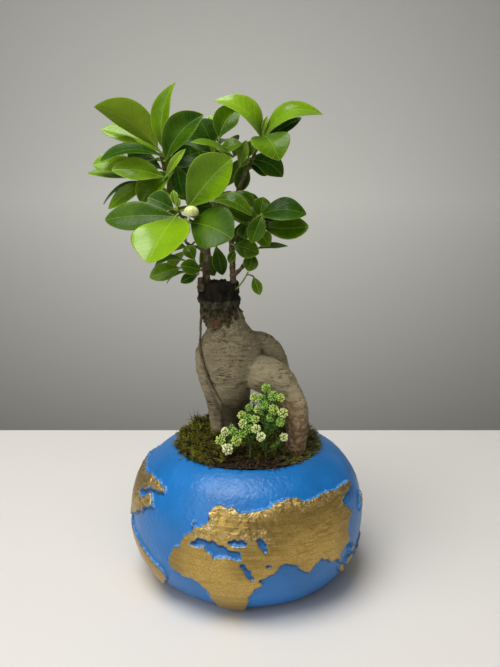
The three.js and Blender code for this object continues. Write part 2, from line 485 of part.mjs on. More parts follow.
const shoots = {
  shoot_upper_left: {
    twigs: [[[-40.4, 247.3, -1, 1.4], [-45.5, 252.5, -1, 1.3], [-49.6, 259, -1, 1.2], [-52, 268.5, -2, 0.9]]],
    leaves: [
      [-54, 272, -2, -90.9, 295.5, -2, 12.4, 2, 3, -53, 0, 28, 0.3],
      [-52.5, 270, 10, -87, 282.4, 13, 7.6, 2, -2, 48, 0, 10, 0.9],
      [-51, 267, -3, -88.4, 264.2, -9, 7.6, 5.6, 0, 34, 6, 12, 1],
      [-66, 263.4, 0, -93, 262.2, -3, 6.8, 1.5, 0, 62, 0, 10, 0.9],
      [-51, 255, -8, -82, 259.2, -14, 7.6, 2, -0.8, 62, 0, 12, 0.6],
      [-60, 254.5, 3, -97, 257, 3, 6.5, 1.5, 0, 34, -6, 12, 0.2],
      [-62, 252, 8, -87.8, 238.7, 7, 5, 4, 0, 22, 10, 12, 0.4],
      [-58, 252.5, 2, -84.8, 236, 2, 5.8, 3, 0, 58, 10, 12, 0.6],
      [-45.2, 257.4, -3, -64.8, 239.4, -7, 10.6, 1, 0, 50, 0, 34, 1],
      [-49.5, 255, -8, -37, 271.5, -13, 2.9, 1, 0, 60, 0, 20, 0.5],
      [-49, 265, -5, -26.1, 290.9, -8, 11, 1, 3, 58, 0, 30, 0.45],
      [-50, 268, 4, -39.5, 291.5, 5, 7, 1, 0, 70, 0, 10, 0.5],
      [-50, 271, -2, -42.4, 309.2, -2, 6.8, 1, 4.2, 66, -36, 22, 0.3],
      [-43, 262, 0, -39, 243, -4, 5.4, 1, 0, 80, 0, 10, 0.6],
      [-53, 265, 4, -66, 259, 34, 8, 3, 0, -10, 0, 12, 0.5],
      [-47, 261, 5, -29, 269.5, 10, 8, 2, 0, 66, 0, 12, 0.6],
    ],
  },
  shoot_front: {
    twigs: [[[-35, 228.6, -17.6, 1.2], [-37.5, 230.4, -23, 1.1], [-40.6, 231.8, -27, 1], [-42.8, 235.4, -29, 0.8]]],
    leaves: [
      [-36.4, 237, -28, -9.4, 266, -36, 13.8, -1, 1.2, 66, 0, 22, 0.85],
      [-44.2, 231, -31, -61.8, 203.2, -58, 18.2, 3, 2, 0, 0, 8, 0.75],
      [-34.8, 227.6, -29, -9.4, 218, -46, 13.6, 2, 1.2, 70, 0, 9, 0.7],
      [-44, 231.4, -28, -87.2, 229.4, -25, 9.2, 2, -0.5, 62, 0, 10, 0.8],
      [-45, 236, -24, -60.6, 243, -21, 6.6, 1, 0, 66, 0, 10, 0.5],
      [-42.8, 236.5, -29, -41.3, 242.5, -30, 1.5, 0.5, 0, 80, 0, 20, 0.3],
      [-44, 238, -25, -45, 247, -22, 2.6, 0.5, 0, 70, 0, 20, 0.5],
    ],
  },
  shoot_centre_top: {
    twigs: [[[-19.4, 258.4, 6, 1.1], [-19.8, 264, 6, 1], [-18.6, 272.5, 4, 0.8]]],
    leaves: [
      [-20.5, 273.5, 5, -28.5, 288.6, 8, 8, 1, 0, 80, 0, 8, 0.6],
      [-19.6, 275, 9, -22.5, 291, 14, 5, 1, 0, 66, 0, 10, 0.5],
      [-16.8, 277.6, 4, -4.6, 293.8, 8, 8.4, 1, 2.4, 64, 0, 20, 0.5],
      [-9.4, 267.6, -6, -33.8, 275.2, -17, 5, 2.6, 0, 30, 0, 12, 0.5],
      [-17, 271, 0, -3.4, 274.4, -5, 6.2, 1, -1, 56, -16, 12, 0.6],
      [-17, 274, 8, -8, 274, 36, 7.5, 3, 0, -8, 0, 12, 0.5],
      [-21, 269, 12, -34, 257, 24, 7.5, 2, 0, 62, 0, 12, 0.6],
    ],
  },
  shoot_upper_right: {
    twigs: [[[1.5, 262.5, 1, 1.1], [4, 268, 0.5, 1], [6.6, 274, 0, 0.95], [8.2, 279, 0, 0.8]]],
    leaves: [
      [8, 277.6, 0, -19.9, 298.8, -5, 10.8, 7.6, 0, 36, 0, 14, 0.1],
      [9.8, 277.6, 0, 44.4, 291.2, -5, 10, 9.4, 0, 36, 0, 14, 0.35],
      [9, 278.5, -4, 19.2, 264.6, -24, 11.6, 5, -1, 40, 0, 8, 0.6],
      [8.6, 281, -1, 12, 291, -2, 1.7, 0.5, 0, 80, 0, 20, 0.2],
      [1, 265, 6, 21, 255, 12, 7.2, 1, 3.2, 74, 0, 8, 0.6],
      [-1.6, 264, 5.5, -4.8, 246, 6.5, 5.2, 0.5, 0, 76, 0, 10, 0.6],
      [-4.6, 262, -2, -0.6, 276.4, -4, 3.8, 1, 0, 60, 0, 20, 0.5],
      [0.4, 266.6, -1, 3.4, 276.6, -3, 3.6, 1, 0, 60, 0, 14, 0.8],
      [10.2, 277, 2, 32, 289.4, 0, 4.8, 1.5, -1, 50, 0, 10, 0.4],
      [9, 279, 4, 12, 282, 32, 7.5, 4, 0, -6, 0, 12, 0.5],
      [5, 272, 4, -8, 267, 28, 6.5, 3, 0, -4, 0, 12, 0.5],
    ],
  },
  shoot_middle: {
    twigs: [[[-11.5, 240.5, -7.6, 1], [-11, 242.5, -10, 0.9], [-10, 244.5, -12, 0.8]]],
    leaves: [
      [-21.5, 240.4, -10, 2.6, 231.8, -16, 5.8, 6.4, 0, 46, 0, 12, 0.5],
      [-8, 246, -10, 3.4, 237, -11, 4.4, 2.5, 0, 44, 0, 12, 0.5],
      [-12, 237, -9, 2.2, 229, -8, 5.2, 1, 0, 62, 0, 12, 0.5],
      [-2, 246, -2, 6.4, 238.8, 0, 3.4, 1, 0, -30, 0, 12, 0.5],
    ],
  },
  shoot_right: {
    twigs: [[[-1.7, 224.2, -6.8, 1], [2, 227, -9, 0.95], [5.6, 231.4, -10.5, 0.8]]],
    leaves: [
      [7, 232, -10, 35.8, 232.8, -16, 8.6, 4.5, 0, 50, 0, 10, 0.6],
      [7.4, 230.6, -8, 9.4, 243, -3, 5.6, 1, 0, 66, 0, 10, 0.6],
      [9, 225.6, -9, 37.4, 225.4, -14, 7.8, 0, -1.5, 64, 0, 10, 0.9],
      [8.8, 232.4, -13, 2.2, 215.4, -18, 5.8, 1, 0, 80, 0, 16, 0.6],
      [9, 229, -3, 33, 229.6, -3, 5, 1, 0, 40, 0, 10, 0.6],
      [4.6, 223, -6, 13.6, 213.6, -5, 5, 1, 0, 62, 0, 10, 0.6],
      [-1, 227, -12, -2, 218, -13, 5, 1, 0, 72, 0, 10, 0.6],
    ],
  },
  shoot_lower_right: {
    twigs: [[[-2.6, 201.8, -3.8, 1.1], [-0.6, 205, -5, 1], [1.6, 210, -6, 0.8]]],
    leaves: [
      [-9, 214.4, -8, 7, 208.8, -12, 6.2, 1, 0, 66, 0, 10, 0.6],
      [3.4, 208.6, -7.5, 0.4, 197.8, -11, 4.8, 1, 0, 80, 0, 10, 0.6],
      [6, 212, -4, 24.7, 213.4, 0, 4.4, 1, 0, 20, 0, 10, 0.3],
      [-8, 211, -7, -11.6, 203, -9, 2.6, 1, 0, 76, 0, 10, 0.5],
    ],
  },
  shoot_lower_left: {
    twigs: [[[-31, 200.7, -8.4, 1], [-34, 200.4, -11, 0.9], [-38, 200.2, -14, 0.7]]],
    leaves: [
      [-29, 198.5, -13, -41.8, 201.4, -17, 5, 1, 0, 66, 0, 12, 0.7],
      [-42, 200, -15, -61, 193.8, -20, 6, 1.5, 0, 60, 0, 12, 0.6],
      [-31, 196, -9.5, -41.8, 190.8, -12, 3.6, 1, 0, 62, 0, 12, 0.5],
      [-40, 205, -8, -58, 199.6, -7, 4.6, 4, 0, 24, 0, 12, 0.5],
      [-33, 205, -9, -38, 213.4, -5, 4.4, 1, 0, 60, 0, 12, 0.6],
      [-38, 197.4, -11, -50.4, 190.4, -6, 3.4, 2, 0, 20, 0, 12, 0.5],
    ],
  },
  shoot_back: {
    twigs: [
      [[-18.4, 238.3, 20.6, 1.1], [-18.6, 241, 28, 1], [-18, 245, 35, 0.9], [-16, 250, 41, 0.8]],
      [[-18.6, 239, 23, 0.9], [-30, 241, 30, 0.85], [-42, 245, 35, 0.8]],
    ],
    spirals: [
      { twig: 0, count: 7, first: 95, spread: [84, 34], length: [29, 23] },
      { twig: 1, count: 6, first: 20, spread: [80, 34], length: [31, 25] },
    ],
  },
  shoot_back_right: {
    twigs: [[[-2.6, 222.7, 15.6, 1], [2.5, 223, 20, 0.9], [9, 225, 24, 0.8]]],
    leaves: [
      [4, 226, 21, 27, 233, 33, 7, 2, 0, 10, 0, 12, 0.5],
      [5, 224, 22, 31, 224, 27, 7, 2, 0, 30, 0, 12, 0.5],
      [1, 227, 20, 3, 237, 46, 7, 3, 0, -10, 0, 12, 0.5],
      [8, 226, 25, 16, 224, 50, 7, 3, 0, -4, 0, 12, 0.5],
      [-1, 225, 18, -11, 229, 44, 6.5, 3, 0, -6, 0, 12, 0.5],
      [3, 222, 20, 8, 214, 40, 6, 3, 0, -8, 0, 12, 0.5],
    ],
  },
  shoot_low_back: {
    twigs: [[[-30.4, 212.7, 12.6, 1], [-34, 213.5, 18, 0.9], [-38, 215.5, 23, 0.8]]],
    leaves: [[-29, 211, 16, -20.5, 195, 14, 5.4, 1, 0, 84, 0, 10, 0.5]],
    spirals: [{ twig: 0, count: 5, first: 0, spread: [78, 40], length: [24, 19] }],
  },
};

function leafyShoot({ twigs, leaves = [], spirals = [] }) {
  const curves = twigs.map((twig) => new THREE.CatmullRomCurve3(twig.map(([x, z, y]) => place(x, z, y))));
  const samples = curves.flatMap((curve) => curve.getSpacedPoints(24).slice(3));
  const nearest = (point) => samples.reduce((best, p) => (
    p.distanceTo(point) < best.distanceTo(point) ? p : best));
  const placed = leaves.map(placedLeaf);
  const ruled = spirals.flatMap((spiral) => (
    Array.from({ length: spiral.count }, (_, k) => spiralLeaf(curves[spiral.twig], spiral, k))));
  return join([
    ...twigs.map((twig) => limb(twig, twig.length - 1, 4)),
    ...[...placed, ...ruled].map((leaf) => leafSolid(leaf, nearest(leaf.base))),
  ]);
}

// A thin green sprout on the collar with one small hanging leaf
const sprout = {
  stem: [[-6.7, 187, -4.2, 0.55], [-3.2, 191.5, -6, 0.5], [0.3, 197.4, -8, 0.45]],
  stalk: [[-0.6, 195.6, -7.4, 0.5], [1.6, 195.6, -8.5, 0.45], [4, 194.2, -9.5, 0.45]],
  leaf: [3.6, 194.4, -9.4, 7.6, 183, -11, 3.4, 1, 0, 84, 0, 10, 0.5],
};

function sproutSolid() {
  return join([
    limb(sprout.stem, 3, 4),
    limb(sprout.stalk, 3, 3),
    leafSolid(placedLeaf(sprout.leaf), place(...sprout.stalk[1])),
  ]);
}

// The fig: a pale dome on a white stalk
const fig = {
  stalk: [[-36.4, 229.2, -31.6, 0.7], [-35.8, 231.4, -33, 0.9], [-35.2, 233.4, -34, 1]],
  profile: [[0, -1.6], [3, -1.2], [4.2, 0.4], [3.8, 2.4], [2.2, 3.8], [0, 4.3]],
  centre: [-34.4, 233.4, -34],
};

function figSolid() {
  const dome = turned(fig.profile, 12);
  const { x, y, z } = place(...fig.centre);
  return limb(fig.stalk, 3, 5).add(dome.translate([x, y, z]));
}

// Soil and moss, with plain holes for what stands in them

// The soil follows the cavity a little inside it, up to its own level under the neck of the mouth
function soil() {
  const lowBend = 20;
  const side = potCavity.slice(2).map(([radius, height]) => (
    [radius - clearance, height < lowBend ? height + clearance : height]));
  const neck = potCavity[1][0] - clearance;
  return turned([[0, floorHeight + clearance], ...side.reverse(), [neck, soilTop], [0, soilTop]], cavitySides);
}

// The height of the moss: a mound that is highest at the back and on the left, with rolling tufts
function mossHeight(x, y) {
  const mound = 2.2 * Math.tanh((y + 10) / 16) - 0.02 * x;
  const tufts = 0.9 * Math.sin(0.55 * x + 1.3 * Math.sin(0.23 * y)) * Math.cos(0.48 * y + 0.7);
  return mossCrown + mound + tufts;
}

function moss() {
  const ring = (radius, height) => Array.from({ length: mossSides }, (_, side) => {
    const angle = (2 * Math.PI * side) / mossSides;
    const [x, y] = [radius * Math.cos(angle), radius * Math.sin(angle)];
    return new THREE.Vector3(x, y, height ?? mossHeight(x, y));
  });
  const rings = [
    ...mossRings.map((radius) => ring(radius)),
    ...mossRim.map(([radius, height]) => ring(radius, height)),
  ];
  const top = new THREE.Vector3(0, 0, mossHeight(0, 0));
  const underside = new THREE.Vector3(0, 0, mossRim.at(-1)[1]);
  return skinned(underside, rings.reverse(), top);
}

// Flower sprigs: ball-shaped heads on thin stems that fan out from a crown in the moss

// Heads: [x, height, depth, radius]
const sprigs = {
  sprig_right: {
    crown: [12, 70.5, -33],
    heads: [
      [11.8, 122.4, -29, 2.6], [8.6, 115.7, -29, 2.3], [16.6, 117, -33, 2.8], [21.4, 116, -35, 2.2],
      [10.7, 111, -32, 2.5], [16.7, 108, -34, 3], [22.7, 105.6, -36, 2.8], [14.8, 102.6, -33, 2.4],
      [21.3, 99.6, -36, 2.6], [23.5, 88.9, -36, 2.4], [12.6, 116, -27, 1.9], [8.5, 89.3, -37, 2.6],
      [9.9, 106.4, -28, 2.2],
    ],
  },
  sprig_middle: {
    crown: [1, 70, -34],
    heads: [
      [4.3, 116, -25, 2.6], [1, 109, -26, 2.3], [6.2, 108, -28, 2.2], [-3.8, 104.2, -28, 2.6],
      [0.2, 102, -30, 2.7], [4.7, 101.3, -31, 2.5], [-3, 98.3, -32, 2.7], [0.7, 94.9, -33, 2.5],
      [5.2, 94.9, -34, 2.6], [-3.5, 91.5, -34, 2.4],
    ],
  },
  sprig_left: {
    crown: [-10, 70, -34],
    heads: [
      [-14.6, 92.7, -32, 2.7], [-8.9, 92.7, -33, 2.5], [-17.9, 87.1, -34, 2.8], [-7.6, 86.7, -36, 2.9],
      [-13.4, 81, -38, 3.3], [-10.5, 96.2, -30, 1.5],
    ],
  },
};
const crownProfile = [[0, -5], [2.4, -4], [2.8, 0], [1.8, 3], [0, 4]];
const crownWell = { radius: 3.4, depth: 6, height: 20 };
const sprigStemRadius = 0.62;
const mainStemRadius = 0.8;
const stalkDrop = 0.25;
const headBall = 0.82;
const floretRise = 1.17;
const plainHeadBelow = 2.45;
const headTurn = { x: 0.5, y: 0.7 };

// An eight-sided ball with a point raised on every face. A small head is a plain ball.
function flowerHead(centre, radius) {
  const ball = new THREE.OctahedronGeometry(headBall * radius, 0).getAttribute('position');
  const turn = new THREE.Euler(headTurn.x, headTurn.y, radius);
  const corner = (i) => new THREE.Vector3().fromBufferAttribute(ball, i).applyEuler(turn);
  const points = [];
  const triangles = [];
  const indexOf = (point) => {
    const known = points.findIndex((p) => p.distanceTo(point) < 1e-4);
    return known >= 0 ? known : points.push(point) - 1;
  };
  for (let i = 0; i < ball.count; i += 3) {
    const corners = [corner(i), corner(i + 1), corner(i + 2)];
    if (radius < plainHeadBelow) {
      triangles.push(corners.map((point) => indexOf(point.clone().setLength(radius))));
      continue;
    }
    const peak = corners[0].clone().add(corners[1]).add(corners[2]).setLength(floretRise * radius);
    const [a, b, c, d] = [...corners, peak].map(indexOf);
    triangles.push([a, b, d], [b, c, d], [c, a, d]);
  }
  return solidFrom(points.map((p) => p.clone().add(centre)), triangles);
}

// A three-sided stem between two points
function stalk(from, to, radius) {
  const along = to.clone().sub(from).normalize();
  const side = new THREE.Vector3(0, 1, 0).cross(along).normalize();
  const up = along.clone().cross(side);
  const ring = (centre) => [0, 120, 240].map((degrees) => centre.clone()
    .addScaledVector(side, radius * Math.cos(degrees * THREE.MathUtils.DEG2RAD))
    .addScaledVector(up, radius * Math.sin(degrees * THREE.MathUtils.DEG2RAD)));
  return solidFrom([...ring(from), ...ring(to)], [
    [0, 2, 1], [3, 4, 5], [0, 1, 3], [1, 4, 3], [1, 2, 4], [2, 5, 4], [2, 0, 5], [0, 3, 5],
  ]);
}

// The stem of a sprig runs from its crown to its highest head, and the stalk of every other head leaves it
// a little below that head
function sprig({ crown, heads }) {
  const foot = place(...crown);
  const [top, ...others] = heads.map(([x, z, y]) => place(x, z, y));
  const stalks = others.map((head) => {
    const share = THREE.MathUtils.clamp((head.z - foot.z) / (top.z - foot.z) - stalkDrop, 0, 1);
    return stalk(foot.clone().lerp(top, share), head, sprigStemRadius);
  });
  return join([
    turned(crownProfile, 8).translate([foot.x, foot.y, foot.z]),
    stalk(foot, top, mainStemRadius),
    ...stalks,
    ...heads.map(([x, z, y, radius]) => flowerHead(place(x, z, y), radius)),
  ]);
}

// Everything a hole is cut for: a plain round hole under each crown, the roots with a little air round them
function holes() {
  const wells = Object.values(sprigs).map(({ crown }) => {
    const foot = place(...crown);
    const { radius, depth, height } = crownWell;
    return turned([[0, -depth], [radius, -depth], [radius, height], [0, height]], 8)
      .translate([foot.x, foot.y, foot.z]);
  });
  return join([rootstock(holeClearance), ...wells]);
}

// The whole plant in its pot
const model = new THREE.Group();
const standing = holes();
model.add(meshOf('pot', pot(), colours.blue, 0.4));
model.add(meshOf('soil', largestBody(soil().subtract(standing)), colours.earth, 0.95));
model.add(meshOf('moss', largestBody(moss().subtract(standing)), colours.moss, 0.95));
model.add(meshOf('rootstock', wholeRootstock(), colours.bark, 0.8));
for (const [name, plan] of Object.entries(shoots)) model.add(meshOf(name, leafyShoot(plan), colours.leaf, 0.35));
model.add(meshOf('sprout', sproutSolid(), colours.leaf, 0.4));
model.add(meshOf('fig', figSolid(), colours.fig, 0.5));
for (const [name, plan] of Object.entries(sprigs)) model.add(meshOf(name, sprig(plan), colours.flower, 0.6));

export default model;
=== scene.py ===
"""A ginseng ficus bonsai in a globe-shaped pot: surfaces, finishes, stage and camera.

Lengths are worked out in millimetres and put into the meshes in metres. +Z is up, the front looks along -Y.
"""

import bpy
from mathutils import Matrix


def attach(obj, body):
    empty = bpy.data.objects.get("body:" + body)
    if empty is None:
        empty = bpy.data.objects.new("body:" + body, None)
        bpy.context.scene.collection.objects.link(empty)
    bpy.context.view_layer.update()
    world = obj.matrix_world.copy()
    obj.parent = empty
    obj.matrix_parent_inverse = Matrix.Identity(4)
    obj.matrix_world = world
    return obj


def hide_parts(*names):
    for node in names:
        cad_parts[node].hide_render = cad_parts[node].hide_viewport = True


bl_info = {
    "name": "Ginseng Ficus Bonsai",
    "version": (1, 0, 0),
    "blender": (4, 5, 0),
    "location": "3D View > Sidebar > Bonsai",
    "description": "Builds a ginseng ficus bonsai in a globe-shaped pot around its solids",
    "category": "Add Mesh",
}

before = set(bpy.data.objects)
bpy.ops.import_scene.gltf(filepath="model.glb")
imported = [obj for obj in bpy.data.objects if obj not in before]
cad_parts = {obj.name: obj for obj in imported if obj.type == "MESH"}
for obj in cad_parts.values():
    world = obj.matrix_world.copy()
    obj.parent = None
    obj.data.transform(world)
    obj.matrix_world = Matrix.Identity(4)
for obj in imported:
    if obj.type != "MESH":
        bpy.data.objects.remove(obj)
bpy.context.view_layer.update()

import math

import bpy
import numpy as np
from bpy.props import FloatProperty, FloatVectorProperty, IntProperty, PointerProperty
from mathutils import Vector

MM = 0.001
TURN = 2 * math.pi

# A reading (x, height) is taken in the upright plane through the pot's axis. A thing nearer or further than
# that plane stays on the same line of sight from this eye.
EYE_X = 1.4
EYE_DISTANCE = 433.0
EYE_HEIGHT = 252.0


# Settings


class BonsaiPotSettings(bpy.types.PropertyGroup):
    """Sizes and colours of the pot"""

    relief: FloatProperty(
        name="Relief", description="How far the land stands out of the wall", default=0.002, unit="LENGTH"
    )
    around: IntProperty(
        name="Steps Around", description="Steps of the wall's surface around the pot", default=620
    )
    sea: FloatVectorProperty(
        name="Sea", description="Colour of the painted wall", default=(0.006, 0.165, 0.50), subtype="COLOR"
    )
    gold: FloatVectorProperty(
        name="Gold", description="Colour of the metallic paint on the land",
        default=(0.50, 0.34, 0.095), subtype="COLOR",
    )


class BonsaiRootstockSettings(bpy.types.PropertyGroup):
    """Sizes and colours of the trunk and its stems"""

    voxel: FloatProperty(
        name="Grain", description="Size of the cells in which the roots are fused",
        default=0.0009, unit="LENGTH",
    )
    bark: FloatVectorProperty(
        name="Bark", description="Colour of the smooth bark", default=(0.312, 0.264, 0.162), subtype="COLOR"
    )
    collar: FloatVectorProperty(
        name="Collar", description="Colour of the rough bark at the graft",
        default=(0.009, 0.007, 0.0035), subtype="COLOR",
    )


class BonsaiLeafSettings(bpy.types.PropertyGroup):
    """Sizes and colours of the leaves"""

    thickness: FloatProperty(
        name="Thickness", description="Thickness of a blade beside its midrib", default=0.0005, unit="LENGTH"
    )
    young: FloatVectorProperty(
        name="Young", description="Upper face of a young leaf", default=(0.20, 0.37, 0.002), subtype="COLOR"
    )
    old: FloatVectorProperty(
        name="Old", description="Upper face of an old leaf", default=(0.014, 0.058, 0.001), subtype="COLOR"
    )
    underside: FloatVectorProperty(
        name="Underside", description="Under face of a leaf", default=(0.14, 0.23, 0.008), subtype="COLOR"
    )


class BonsaiMossSettings(bpy.types.PropertyGroup):
    """Sizes and colours of the moss"""

    fronds: IntProperty(name="Fronds", description="Number of feathery fronds in each layer", default=2000)
    frond_length: FloatProperty(
        name="Frond Length", description="Length of a frond's stem", default=0.0068, unit="LENGTH"
    )
    green: FloatVectorProperty(
        name="Green", description="Colour of the fresh moss", default=(0.22, 0.225, 0.012), subtype="COLOR"
    )
    dry: FloatVectorProperty(
        name="Dry", description="Colour of the dry moss and fibre",
        default=(0.07, 0.037, 0.013), subtype="COLOR",
    )


class BonsaiFlowerSettings(bpy.types.PropertyGroup):
    """Sizes and colours of the flower sprigs"""

    florets: IntProperty(name="Florets", description="Number of florets on a flower head", default=84)
    green: FloatVectorProperty(
        name="Green", description="Colour of the greenest heads", default=(0.20, 0.46, 0.03), subtype="COLOR"
    )
    cream: FloatVectorProperty(
        name="Cream", description="Colour of the palest heads", default=(0.86, 0.86, 0.50), subtype="COLOR"
    )


class BonsaiStageSettings(bpy.types.PropertyGroup):
    """The floor, the backdrop and the camera"""

    lens: FloatProperty(
        name="Lens", description="Focal length for a sensor 36 mm wide", default=37.8, unit="CAMERA"
    )
    pitch: FloatProperty(
        name="Pitch", description="How far the camera looks down", default=math.radians(12.2), subtype="ANGLE"
    )
    floor: FloatVectorProperty(
        name="Floor", description="Colour of the pale floor", default=(0.76, 0.74, 0.715), subtype="COLOR"
    )
    backdrop: FloatVectorProperty(
        name="Backdrop", description="Colour of the plain backdrop",
        default=(0.285, 0.283, 0.262), subtype="COLOR",
    )


# Surfaces as whole arrays

# Steps between two stations at which a smooth path is worked out, before its points are spaced evenly
STEPS_BETWEEN = 24


def unit(vectors):
    """Each vector divided by its length."""
    return vectors / np.maximum(np.linalg.norm(vectors, axis=-1, keepdims=True), 1e-12)


def place(x, height, depth):
    """The point at depth on the line of sight through (x, height): offsets from the eye grow with depth."""
    x, height, depth = np.broadcast_arrays(*np.atleast_1d(x, height, depth))
    scale = 1 + depth / EYE_DISTANCE
    across = EYE_X + (x - EYE_X) * scale
    return np.stack([across, depth, EYE_HEIGHT + (height - EYE_HEIGHT) * scale], axis=-1).astype(float)


def ripples(points, wavelength, seed, waves=24):
    """A smooth random field of mean 0 and spread 1: a sum of sine waves with directions, phases and
    wavelengths, from two thirds to one and a half times the given one, drawn from the seed."""
    random = np.random.default_rng(seed)
    lengths = wavelength * np.exp(random.uniform(-0.4, 0.4, (waves, 1)))
    directions = unit(random.normal(size=(waves, 3))) * TURN / lengths
    phases = random.uniform(0, TURN, waves)
    return np.sin(points @ directions.T + phases).sum(-1) * math.sqrt(2 / waves)


def rise(values, low, high):
    """0 up to low, 1 from high on, and the smooth cubic 3t^2 - 2t^3 between."""
    t = np.clip((values - low) / (high - low), 0, 1)
    return t * t * (3 - 2 * t)


def smooth_path(stations, count):
    """Points evenly spaced along a smooth path: between two stations, the cubic that has their values and
    slopes. A station's slope is the mean of its two chords' slopes, each weighted by the other's span, and
    a span is the square root of a chord's length."""
    stations = np.asarray(stations, float)
    spans = np.sqrt(np.linalg.norm(np.diff(stations[:, :3], axis=0), axis=1))[:, None]
    chords = np.diff(stations, axis=0) / spans
    inner = (chords[:-1] * spans[1:] + chords[1:] * spans[:-1]) / (spans[:-1] + spans[1:])
    slopes = np.concatenate([chords[:1], inner, chords[-1:]])
    fine = np.linspace(0, len(stations) - 1, STEPS_BETWEEN * (len(stations) - 1) + 1)
    low = np.minimum(fine.astype(int), len(stations) - 2)
    t = (fine - low)[:, None]
    path = (
        stations[low] * (2 * t**3 - 3 * t**2 + 1)
        + slopes[low] * spans[low] * (t**3 - 2 * t**2 + t)
        + stations[low + 1] * (3 * t**2 - 2 * t**3)
        + slopes[low + 1] * spans[low] * (t**3 - t**2)
    )
    run = np.concatenate([[0], np.cumsum(np.linalg.norm(np.diff(path[:, :3], axis=0), axis=1))])
    even = np.linspace(0, run[-1], count)
    return np.stack([np.interp(even, run, path[:, k]) for k in range(path.shape[1])], axis=-1)


def carried_sides(path):
    """The direction of travel at each point, and two directions square to it that never turn about it."""
    along = unit(np.gradient(path, axis=0))
    start = np.array([1.0, 0, 0]) if abs(along[0][0]) < 0.8 else np.array([0, 1.0, 0])
    sides = []
    for direction in along:
        start = unit(start - direction * (start @ direction))
        sides.append(start)
    sides = np.array(sides)
    return along, sides, np.cross(along, sides)


def all_round(side, other, count):
    """For each pair of square directions, directions evenly all round: side cos(t) + other sin(t)."""
    angle = (np.arange(count) * TURN / count)[:, None]
    return side[:, None] * np.cos(angle) + other[:, None] * np.sin(angle)


def tube_quads(rings, sides):
    """The quads between one ring and the next. They face outwards where the rings turn anticlockwise about
    the direction of travel."""
    ring, side = np.meshgrid(np.arange(rings - 1), np.arange(sides), indexing="ij")
    here, after = ring * sides + side, ring * sides + (side + 1) % sides
    return np.stack([here, after, after + sides, here + sides], axis=-1).reshape(-1, 4)


class Shape:
    """Points, faces and values at the points, gathered for one piece."""

    def __init__(self, *names):
        self.names = names
        self.points = []
        self.quads = []
        self.triangles = []
        self.values = {name: [] for name in names}
        self.count = 0

    def add(self, points, quads=(), triangles=(), **values):
        """Adds points, the faces between them, and the points' values, 0 where none is given."""
        points = np.asarray(points, float).reshape(-1, 3)
        self.points.append(points)
        self.quads.append(np.asarray(quads, int).reshape(-1, 4) + self.count)
        self.triangles.append(np.asarray(triangles, int).reshape(-1, 3) + self.count)
        for name in self.names:
            self.values[name].append(np.broadcast_to(values.get(name, 0.0), len(points)).astype(float))
        self.count += len(points)

    def add_skin(self, rings, **values):
        """Adds rings of points joined by quads. Triangles close each end to the middle of its ring."""
        rings = np.asarray(rings, float)
        count, sides = rings.shape[:2]
        side = np.arange(sides)
        after = (side + 1) % sides
        first, last = count * sides, count * sides + 1
        start = np.stack([np.full(sides, first), after, side], axis=-1)
        last_ring = (count - 1) * sides
        end = np.stack([np.full(sides, last), last_ring + side, last_ring + after], axis=-1)
        points = np.concatenate([rings.reshape(-1, 3), rings[:1].mean(1), rings[-1:].mean(1)])
        spread = {}
        for name, value in values.items():
            value = np.broadcast_to(value, (count, sides)).astype(float)
            spread[name] = np.concatenate([value.ravel(), value[:1].mean(1), value[-1:].mean(1)])
        self.add(points, tube_quads(count, sides), np.concatenate([start, end]), **spread)

    def mesh(self, name):
        """The gathered shape as a mesh in metres, smooth shaded, with a point attribute for each value."""
        points = np.concatenate(self.points) * MM
        quads, triangles = np.concatenate(self.quads), np.concatenate(self.triangles)
        loops = np.concatenate([quads.ravel(), triangles.ravel()])
        starts = np.concatenate([np.arange(len(quads)) * 4, 4 * len(quads) + np.arange(len(triangles)) * 3])
        mesh = bpy.data.meshes.new(name)
        mesh.vertices.add(len(points))
        mesh.vertices.foreach_set("co", points.astype(np.float32).ravel())
        mesh.loops.add(len(loops))
        mesh.loops.foreach_set("vertex_index", loops.astype(np.int32))
        mesh.polygons.add(len(starts))
        mesh.polygons.foreach_set("loop_start", starts.astype(np.int32))
        mesh.update(calc_edges=True)
        mesh.shade_smooth()
        for value_name in self.names:
            attribute = mesh.attributes.new(value_name, "FLOAT", "POINT")
            attribute.data.foreach_set("value", np.concatenate(self.values[value_name]).astype(np.float32))
        return mesh


def piece(name, mesh, paint, slot, *nodes):
    """An object at the origin that rides on the root body and stands for the nodes."""
    mesh.materials.clear()
    mesh.materials.append(paint.material)
    made = bpy.data.objects.new(name, mesh)
    bpy.context.scene.collection.objects.link(made)
    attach(made, "root")
    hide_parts(*nodes)


def limb_rings(stations, count, sides, swell=None):
    """Circles of the stations' radius about a smooth path through [x, height, depth, radius]. Each radius
    is multiplied by 1 plus what swell gives for the circle's points."""
    table = np.asarray(stations, float)
    placed = np.concatenate([place(table[:, 0], table[:, 1], table[:, 2]), table[:, 3:4]], axis=1)
    path = smooth_path(placed, count)
    _, side, other = carried_sides(path[:, :3])
    outward = all_round(side, other, sides) * path[:, 3][:, None, None]
    rings = path[:, None, :3] + outward
    if swell is not None:
        rings = rings + outward * swell(rings)[..., None]
    return rings


# Finishes: a small language for shader nodes


